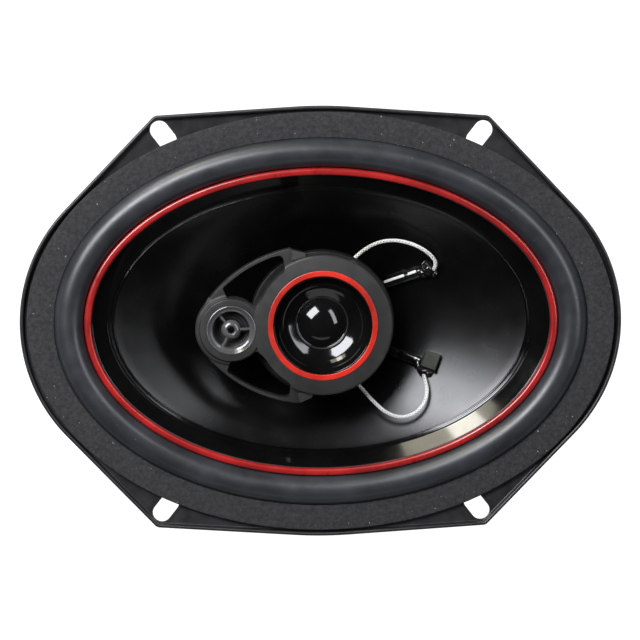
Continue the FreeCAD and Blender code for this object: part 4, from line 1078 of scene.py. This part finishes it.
def make_supertweeter():
    ridges = [(1.4 + 7.2 * step / 24, 4.7 + 2.6 * step / 24 + 0.12 * sin(step * 1.6), 0)
              for step in range(25)]
    under = [(radius, height - 0.3, 0) for radius, height, _ in reversed(ridges)]
    paper = turned("supertweeter_paper", [
        (0, 4.7, 0), *ridges, (9.3, 7.3, 0.05), (9.3, 7.0, 0.05), *under, (0, 4.4, 0),
    ], SATELLITE, 128)
    dress(turn_with_pod(paper), "supertweeter_motor", "paper_film", "supertweeter_diaphragm")


# ---- leads

UPPER_LEAD = (
    (10.6, 22.6, -0.4), (13.4, 25.4, -0.8), (17.2, 28.3, -1.4), (21.8, 30.6, -2.1),
    (27.4, 31.4, -2.9), (33.3, 30.5, -3.7), (38.8, 28.2, -4.7), (43.2, 24.9, -6.0),
    (45.3, 21.4, -7.9), (44.2, 19.2, -10.2),
)
LOWER_LEAD = (
    (13.2, -23.2, -0.4), (16.2, -26.8, -0.8), (20.6, -31.8, -1.4), (25.0, -35.8, -2.0),
    (30.2, -38.0, -2.6), (35.6, -37.2, -3.2), (39.6, -34.0, -4.2), (41.5, -30.0, -5.8),
    (41.6, -26.0, -7.8), (40.4, -22.2, -10.0),
)
REAR_LEAD = (
    (43.0, 19.6, -13.0), (43.6, 21.2, -18.2), (46.2, 22.8, -22.2), (50.8, 22.9, -24.9),
    (55.9, 20.9, -26.2), (60.8, 17.2, -26.7), (66.2, 12.9, -26.3),
)


def spline_points(route):
    """Points along the smooth line that a route's points control, in metres."""
    curve = bpy.data.curves.new("route", "CURVE")
    curve.dimensions = "3D"
    line = curve.splines.new("NURBS")
    line.points.add(len(route) - 1)
    for point, place in zip(line.points, route):
        point.co = (*(value * MM for value in place), 1)
    line.order_u = 3
    line.use_endpoint_u = True
    line.resolution_u = 16
    holder = add_object("route", curve)
    bpy.context.view_layer.update()
    shape = holder.evaluated_get(bpy.context.evaluated_depsgraph_get())
    points = [vertex.co.copy() for vertex in bpy.data.meshes.new_from_object(shape).vertices]
    bpy.data.objects.remove(holder)
    return points


def line_frames(points):
    """(place, side, side, share of the length) along a line, with no twist."""
    total = sum((after - here).length for here, after in zip(points, points[1:]))
    frames, run = [], 0.0
    side = None
    for number, point in enumerate(points):
        ahead = points[min(number + 1, len(points) - 1)] - points[max(number - 1, 0)]
        ahead.normalize()
        side = ahead.orthogonal() if side is None else side - ahead * side.dot(ahead)
        side = side.normalized()
        if number:
            run += (point - points[number - 1]).length
        frames.append((point, side, ahead.cross(side), run / total))
    return frames, total


def braid(name, route, diameter):
    """A braided lead: flat strands that wind both ways, over and under each other."""
    strands = 3
    points = spline_points(route)
    frames, total = line_frames(points)
    thick = 0.15 * diameter
    middle = diameter / 2 - 0.85 * thick
    turns = total / MM / (2.5 * diameter)
    vertices, faces, shares = [], [], []

    def tube(centres, wide, tall):
        start = len(vertices)
        sides = 6
        for (centre, share, out, along) in centres:
            for side in range(sides):
                angle = FULL * side / sides
                vertices.append(centre + out * (tall * MM * sin(angle))
                                + along * (wide * MM * cos(angle)))
                shares.append(share)
        for row in range(len(centres) - 1):
            for side in range(sides):
                other = (side + 1) % sides
                faces.append((start + row * sides + side, start + row * sides + other,
                              start + (row + 1) * sides + other, start + (row + 1) * sides + side))
        last = start + (len(centres) - 1) * sides
        faces.append(tuple(range(start, start + sides)))
        faces.append(tuple(range(last, last + sides)))

    dense = refine(frames, 3)
    for way in (1, -1):
        for strand in range(strands):
            centres = []
            for place, first, second, share in dense:
                angle = way * FULL * turns * share + FULL * strand / strands
                weave = way * cos(strands * FULL * turns * share)
                lift = middle + 0.35 * thick * weave
                out = first * cos(angle) + second * sin(angle)
                round_it = first * -sin(angle) + second * cos(angle)
                centres.append((place + out * lift * MM, share, out, round_it))
            tube(centres, 0.2 * diameter, 0.5 * thick)
    strand_faces = len(faces)
    # the core tube carries painted shade, seen only through the gaps between the strands
    core = [(place, share, first, second) for place, first, second, share in dense]
    tube(core, 0.9 * middle, 0.9 * middle)
    mesh = bpy.data.meshes.new(name)
    mesh.from_pydata(vertices, [], faces)
    mesh.shade_smooth()
    return add_object(name, mesh), points, total, shares, strand_faces


def refine(frames, times):
    """More frames between the given ones."""
    made = []
    for here, after in zip(frames, frames[1:]):
        for step in range(times):
            share = step / times
            made.append(tuple(
                first.lerp(last, share) if isinstance(first, Vector)
                else first + (last - first) * share
                for first, last in zip(here, after)))
    made.append(frames[-1])
    return made


def make_leads():
    negative = tuple((x, -y, z) for x, y, z in REAR_LEAD)
    for name, route, diameter, node, reverse in (
        ("upper_pod_lead", UPPER_LEAD, 1.5, "upper_front_lead", False),
        ("lower_pod_lead", LOWER_LEAD, 1.5, "lower_front_lead", False),
        ("positive_tinsel_lead", REAR_LEAD, 1.2, "positive_rear_lead", True),
        ("negative_tinsel_lead", negative, 1.2, "negative_rear_lead", True),
    ):
        lead, points, total, shares, strand_faces = braid(name, route, diameter)
        dress(lead, None, "braid", node)
        lead.data.materials.append(LOOKS["braid_gap_painted_shade"])
        # the core's faces take the painted shade of the braid's gaps
        for face in lead.data.polygons[strand_faces:]:
            face.material_index = 1
        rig.blend(lead, "frame", "cone_assembly", start=(0, 0, 0), end=(0, 0, 0.01))
        weights = [smooth_step(1 - share if reverse else share) for share in shares]
        lead.data.attributes["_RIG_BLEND"].data.foreach_set("value", weights)
        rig.cord(lead, exit=points[0], length=total, diameter=diameter * MM, far_end="object",
                stiffness="limp", lay="hanging", path=points)


def lumpy(obj, size, depth, seed):
    """Push a piece's surface in and out like set glue."""
    work = bmesh.new()
    work.from_mesh(obj.data)
    for vertex in work.verts:
        push = noise.noise(vertex.co / (size * MM) + Vector((seed, 0, 0)))
        vertex.co += vertex.normal * push * depth * MM
    work.to_mesh(obj.data)
    work.free()
    return obj


def make_blob(name, centre, radius, seed):
    """A lump of set glue."""
    work = bmesh.new()
    bmesh.ops.create_icosphere(work, subdivisions=4, radius=radius)
    bmesh.ops.translate(work, verts=work.verts, vec=Vector(centre))
    bmesh.ops.scale(work, verts=work.verts, vec=Vector((MM, MM, MM)))
    return lumpy(from_work(work, name, radians(60)), 1.6, 0.4, seed)


def make_eyelet(name, centre, radius, thick):
    """A ring of glue round the end of a lead."""
    steps = 12
    section = [(radius + thick * cos(FULL * step / steps),
                centre[2] + thick * sin(FULL * step / steps), 0) for step in range(steps)]
    return turned(name, section, centre[:2], 48)


def glued_lead(name, start, end, half_wide, tall, seed):
    """A lead glued down the cone, from the joint to the voice coil."""
    steps, sides = 48, 16
    along = (end - start).normalized()
    across = Vector((0, 0, 1)).cross(along).normalized()
    up = along.cross(across)
    up = up if up.z > 0 else -up
    loops = []
    for step in range(steps + 1):
        share = step / steps
        wide = half_wide * (0.8 + 0.2 * cos(pi * share))
        centre = start.lerp(end, share)
        loops.append([centre + across * (wide * cos(angle))
                      + up * (tall * copysign(abs(sin(angle)) ** 0.6, sin(angle)))
                      for angle in (FULL * side / sides for side in range(sides))])
    strip = skin(name, loops, closed=False, sharp=radians(70))
    return lumpy(strip, 2.6, 0.18, seed), along, across, up


def strip_place(centre, along, up):
    """A placement whose X runs along a strip and whose Z leaves the cone."""
    turn = Matrix((along, up.cross(along), up)).transposed().to_4x4()
    return Matrix.Translation(centre) @ turn


def make_upper_joint():
    """The upper lead's lumps of glue and the bright flat wire on its glued lead."""
    lumps = [
        make_blob("lump0", (42.2, 19.0, -12.0), 2.7, 3.1),
        make_blob("lump1", (40.3, 17.6, -12.3), 2.0, 5.3),
        make_blob("lump2", (44.6, 17.4, -12.2), 1.7, 9.2),
        make_eyelet("eyelet", (41.4, 20.6, -9.9), 1.75, 0.42),
    ]
    dress(combine("upper_glue_joint", lumps), "cone_assembly", "glue_black", "upper_lead_joint")
    start, end = Vector((39.4, 17.8, -12.6)), Vector((16.6, 9.1, -20.6))
    strip, along, across, up = glued_lead("upper_glue_strip", start, end, 1.7, 1.0, 1.0)
    side = across if across.y > 0 else -across
    wires = []
    for number, (share, length) in enumerate(((0.12, 3.4), (0.42, 8.6))):
        spot = start.lerp(end, share) + up * 1.1 + side * 1.2
        wires.append(block(f"flat_wire{number}", (length, 1.0, 0.5), 0.15,
                           strip_place(spot, along, up)))
    join_looks("upper_glued_lead", strip, combine("flat_wires", wires), "upper_coil_lead",
               "bare_wire")


def make_lower_joint():
    """The lower lead's block of glue, painted greenish grey as a painted reflection, its lumps and the end of the
    lead.
    """
    turn = Matrix.Rotation(radians(-20), 4, "Z") @ Matrix.Rotation(radians(-7), 4, "X")
    # the cap takes a greenish grey painted reflection rather than the black of the glue
    cap = block("cap", (6.2, 7.6, 4.8), 1.1, Matrix.Translation((43.0, -17.2, -11.6)) @ turn)
    ridge = block("ridge", (6.6, 0.8, 0.8), 0.2, Matrix.Translation((41.6, -19.6, -8.9)) @ turn)
    lumps = [
        ridge,
        make_blob("lump3", (40.3, -21.0, -11.7), 2.1, 2.7),
        make_blob("lump4", (42.6, -21.8, -11.9), 1.7, 6.1),
        make_blob("lump5", (38.7, -18.6, -12.2), 2.0, 8.8),
    ]
    join_looks("lower_glue_joint", combine("lower_lumps", lumps), cap, "lower_lead_joint",
               "glue_painted_reflection")
    start, end = Vector((39.0, -17.6, -12.5)), Vector((16.6, -9.1, -20.6))
    strip = glued_lead("lower_glued_lead", start, end, 2.1, 1.1, 5.0)[0]
    dress(strip, "cone_assembly", "glue_black", "lower_coil_lead")


def join_looks(name, base, extra, node, look):
    """One glued piece of two materials: black glue and what sits on it."""
    work = bmesh.new()
    work.from_mesh(base.data)
    count = len(work.faces)
    work.from_mesh(extra.data)
    work.faces.ensure_lookup_table()
    for face in work.faces[count:]:
        face.material_index = 1
    bpy.data.objects.remove(base)
    bpy.data.objects.remove(extra)
    obj = from_work(work, name)
    kinds = [face.material_index for face in obj.data.polygons]
    dress(obj, "cone_assembly", "glue_black", node)
    obj.data.materials.append(LOOKS[look])
    obj.data.polygons.foreach_set("material_index", kinds)


# ---- terminals

def make_terminals():
    """The board on the frame's sloping wall, with its rivets and two lugs."""
    foot, knee = Vector((50.2, 0, -29.4)), Vector((94.8, 0, -14.0))
    run = knee - foot
    spot = foot + run * ((74.0 - foot.x) / run.x)
    lie = Matrix.Translation(spot) @ Matrix.Rotation(-atan2(run.z, run.x), 4, "Y")
    board = block("terminal_panel", (14, 34, 1.6), 0.3, lie @ Matrix.Translation((0, 0, -0.8)))
    dress(board, "frame", "phenolic", "terminal_board")
    rivets = [make_board_rivet(number, lie, along) for number, along in enumerate((-3.6, 3.6))]
    dress(combine("panel_rivets", rivets), "frame", "rivet_steel", "terminal_rivets")
    for name, way, wide in (("positive", 1, 6.3), ("negative", -1, 4.8)):
        dress(make_lug(name, lie, way, wide), "frame", "tinned_brass", f"{name}_terminal")


def make_board_rivet(number, lie, along):
    rivet = turned(f"board_rivet{number}", (
        (0, -2.5, 0), (1.6, -2.5, 0.5), (2.4, -1.6, 0.2), (1.4, -1.6, 0), (1.4, 0.6, 0.2),
        (0, 0.6, 0),
    ), turns=48)
    return move(rivet, lie @ Matrix.Translation((along, 0, 0)))


def make_lug(name, lie, way, wide):
    """A flat blade with cut corners and a small hole."""
    half = wide / 2
    blade = prism(f"{name}_lug", rounded([
        (Vector((-10, -half, 0)), 0.6), (Vector((13.4, -half, 0)), 0.5),
        (Vector((15, -half + 1.3, 0)), 0.4), (Vector((15, half - 1.3, 0)), 0.4),
        (Vector((13.4, half, 0)), 0.5), (Vector((-10, half, 0)), 0.6)]), -2.4, -1.6, 0.12)
    hole = turned("lug_hole", ((0, -4, 0), (0.9, -4, 0), (0.9, 0, 0), (0, 0, 0)), (11, 0), 32)
    return move(carve(blade, [hole]), lie @ Matrix.Translation((0, 12 * way, 0)))


HIDDEN = {
    "stem_nut": "rivet_steel", "tweeter_voice_coil": "copper_wire",
    "tweeter_pole_plate": "plated_steel", "tweeter_magnet": "neodymium",
    "tweeter_cup": "plated_steel", "crossover_capacitor": "capacitor_sleeve",
    "piezo_element": "piezo_brass",
}


def dress_hidden():
    """The pieces inside the pod keep their CAD meshes and get their materials."""
    for node, slot in HIDDEN.items():
        obj = frame["nodes"][node]
        obj.data.materials.clear()
        obj.data.materials.append(LOOKS[slot])


# ---- studio

def make_camera():
    data = bpy.data.cameras.new("camera")
    data.lens, away = 145.6, 1.0
    data.sensor_width = 36
    camera = add_object("camera", data)
    aim = Vector((-0.0006, 0.00074, 0))
    tilt_y, tilt_x = radians(6.7), radians(-2.4)
    back = Vector((sin(tilt_x), sin(tilt_y), cos(tilt_y))).normalized()
    right = Vector((0, 1, 0)).cross(back).normalized()
    up = back.cross(right)
    turn = Matrix((right, up, back)).transposed().to_4x4()
    camera.matrix_world = Matrix.Translation(aim + back * away) @ turn
    bpy.context.scene.camera = camera


def softbox(name, azimuth, elevation, distance, sizes, power, colour=(1, 1, 1)):
    """A rectangular lamp that faces the speaker; its first side lies level."""
    data = bpy.data.lights.new(name, "AREA")
    data.shape = "RECTANGLE"
    data.size, data.size_y = sizes
    data.energy = power
    data.color = colour
    lamp = add_object(name, data)
    around, above = radians(azimuth), radians(elevation)
    back = Vector((cos(above) * cos(around), cos(above) * sin(around),
                   sin(above)))
    level = Vector((-sin(around), cos(around), 0))
    turn = Matrix((level, back.cross(level), back)).transposed().to_4x4()
    lamp.matrix_world = Matrix.Translation(back * distance) @ turn


def make_studio():
    floor = add_object("floor", bpy.data.meshes.new("floor"))
    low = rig.bounds()[0].z
    half = 4.0
    floor.data.from_pydata([(-half, -half, low), (half, -half, low), (half, half, low),
                            (-half, half, low)], [], [(0, 1, 2, 3)])
    paper = Surface("paper_floor", (0.12, 0.12, 0.12), 0.9, specular=0.0)
    paper.tint(paper.noise(3), 0.3, 0.7, 0.99, 1.01)
    paper.shader.inputs["Emission Color"].default_value = (1, 1, 1, 1)
    paper.shader.inputs["Emission Strength"].default_value = 1.1
    floor.data.materials.append(paper.material)
    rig.stage(floor)
    softbox("left_softbox", 134, 49, 1.0, (0.62, 0.4), 17, (0.94, 0.95, 1.0))
    softbox("right_softbox", 23, 48, 1.0, (0.8, 0.2), 4.2, (0.94, 0.96, 1.0))
    softbox("low_softbox", 115, 20, 1.0, (0.44, 0.34), 2.4, (1.0, 0.95, 0.76))
    softbox("low_spot", 117, 20, 0.98, (0.15, 0.34), 2.0, (1.0, 0.97, 0.88))
    softbox("front_card", 268, 32, 1.2, (1.1, 0.25), 0.7)
    world = bpy.data.worlds.new("studio")
    world.use_nodes = True
    bpy.context.scene.world = world
    nodes, links = world.node_tree.nodes, world.node_tree.links
    back = nodes["Background"]
    path = nodes.new("ShaderNodeLightPath")
    level = nodes.new("ShaderNodeMapRange")
    level.inputs["To Min"].default_value = 0.015
    level.inputs["To Max"].default_value = 1.0
    links.new(path.outputs["Is Camera Ray"], level.inputs["Value"])
    links.new(level.outputs["Result"], back.inputs["Strength"])
    back.inputs["Color"].default_value = (1, 1, 1, 1)
    bpy.context.scene.view_settings.view_transform = "Standard"


# ---- the speaker

LOOKS = make_materials()
make_camera()
make_leads()
make_basket()
make_gasket()
make_surround()
make_cone()
make_cone_trim()
make_upper_joint()
make_lower_joint()
make_spider()
make_voice_coil()
make_top_plate()
make_magnet()
make_back_plate()
make_pod_bolt()
make_pod_stem()
make_frame_rivets()
make_pod_housing()
make_rear_cover()
make_satellite_cap()
make_tweeter_ring()
make_horn()
make_dome()
make_dome_roll()
make_grille()
make_supertweeter()
make_terminals()
dress_hidden()
make_studio()

with open("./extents.json", "w") as report:
    json.dump({"cad": cad_box, "visual": [list(corner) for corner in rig.bounds()]}, report)
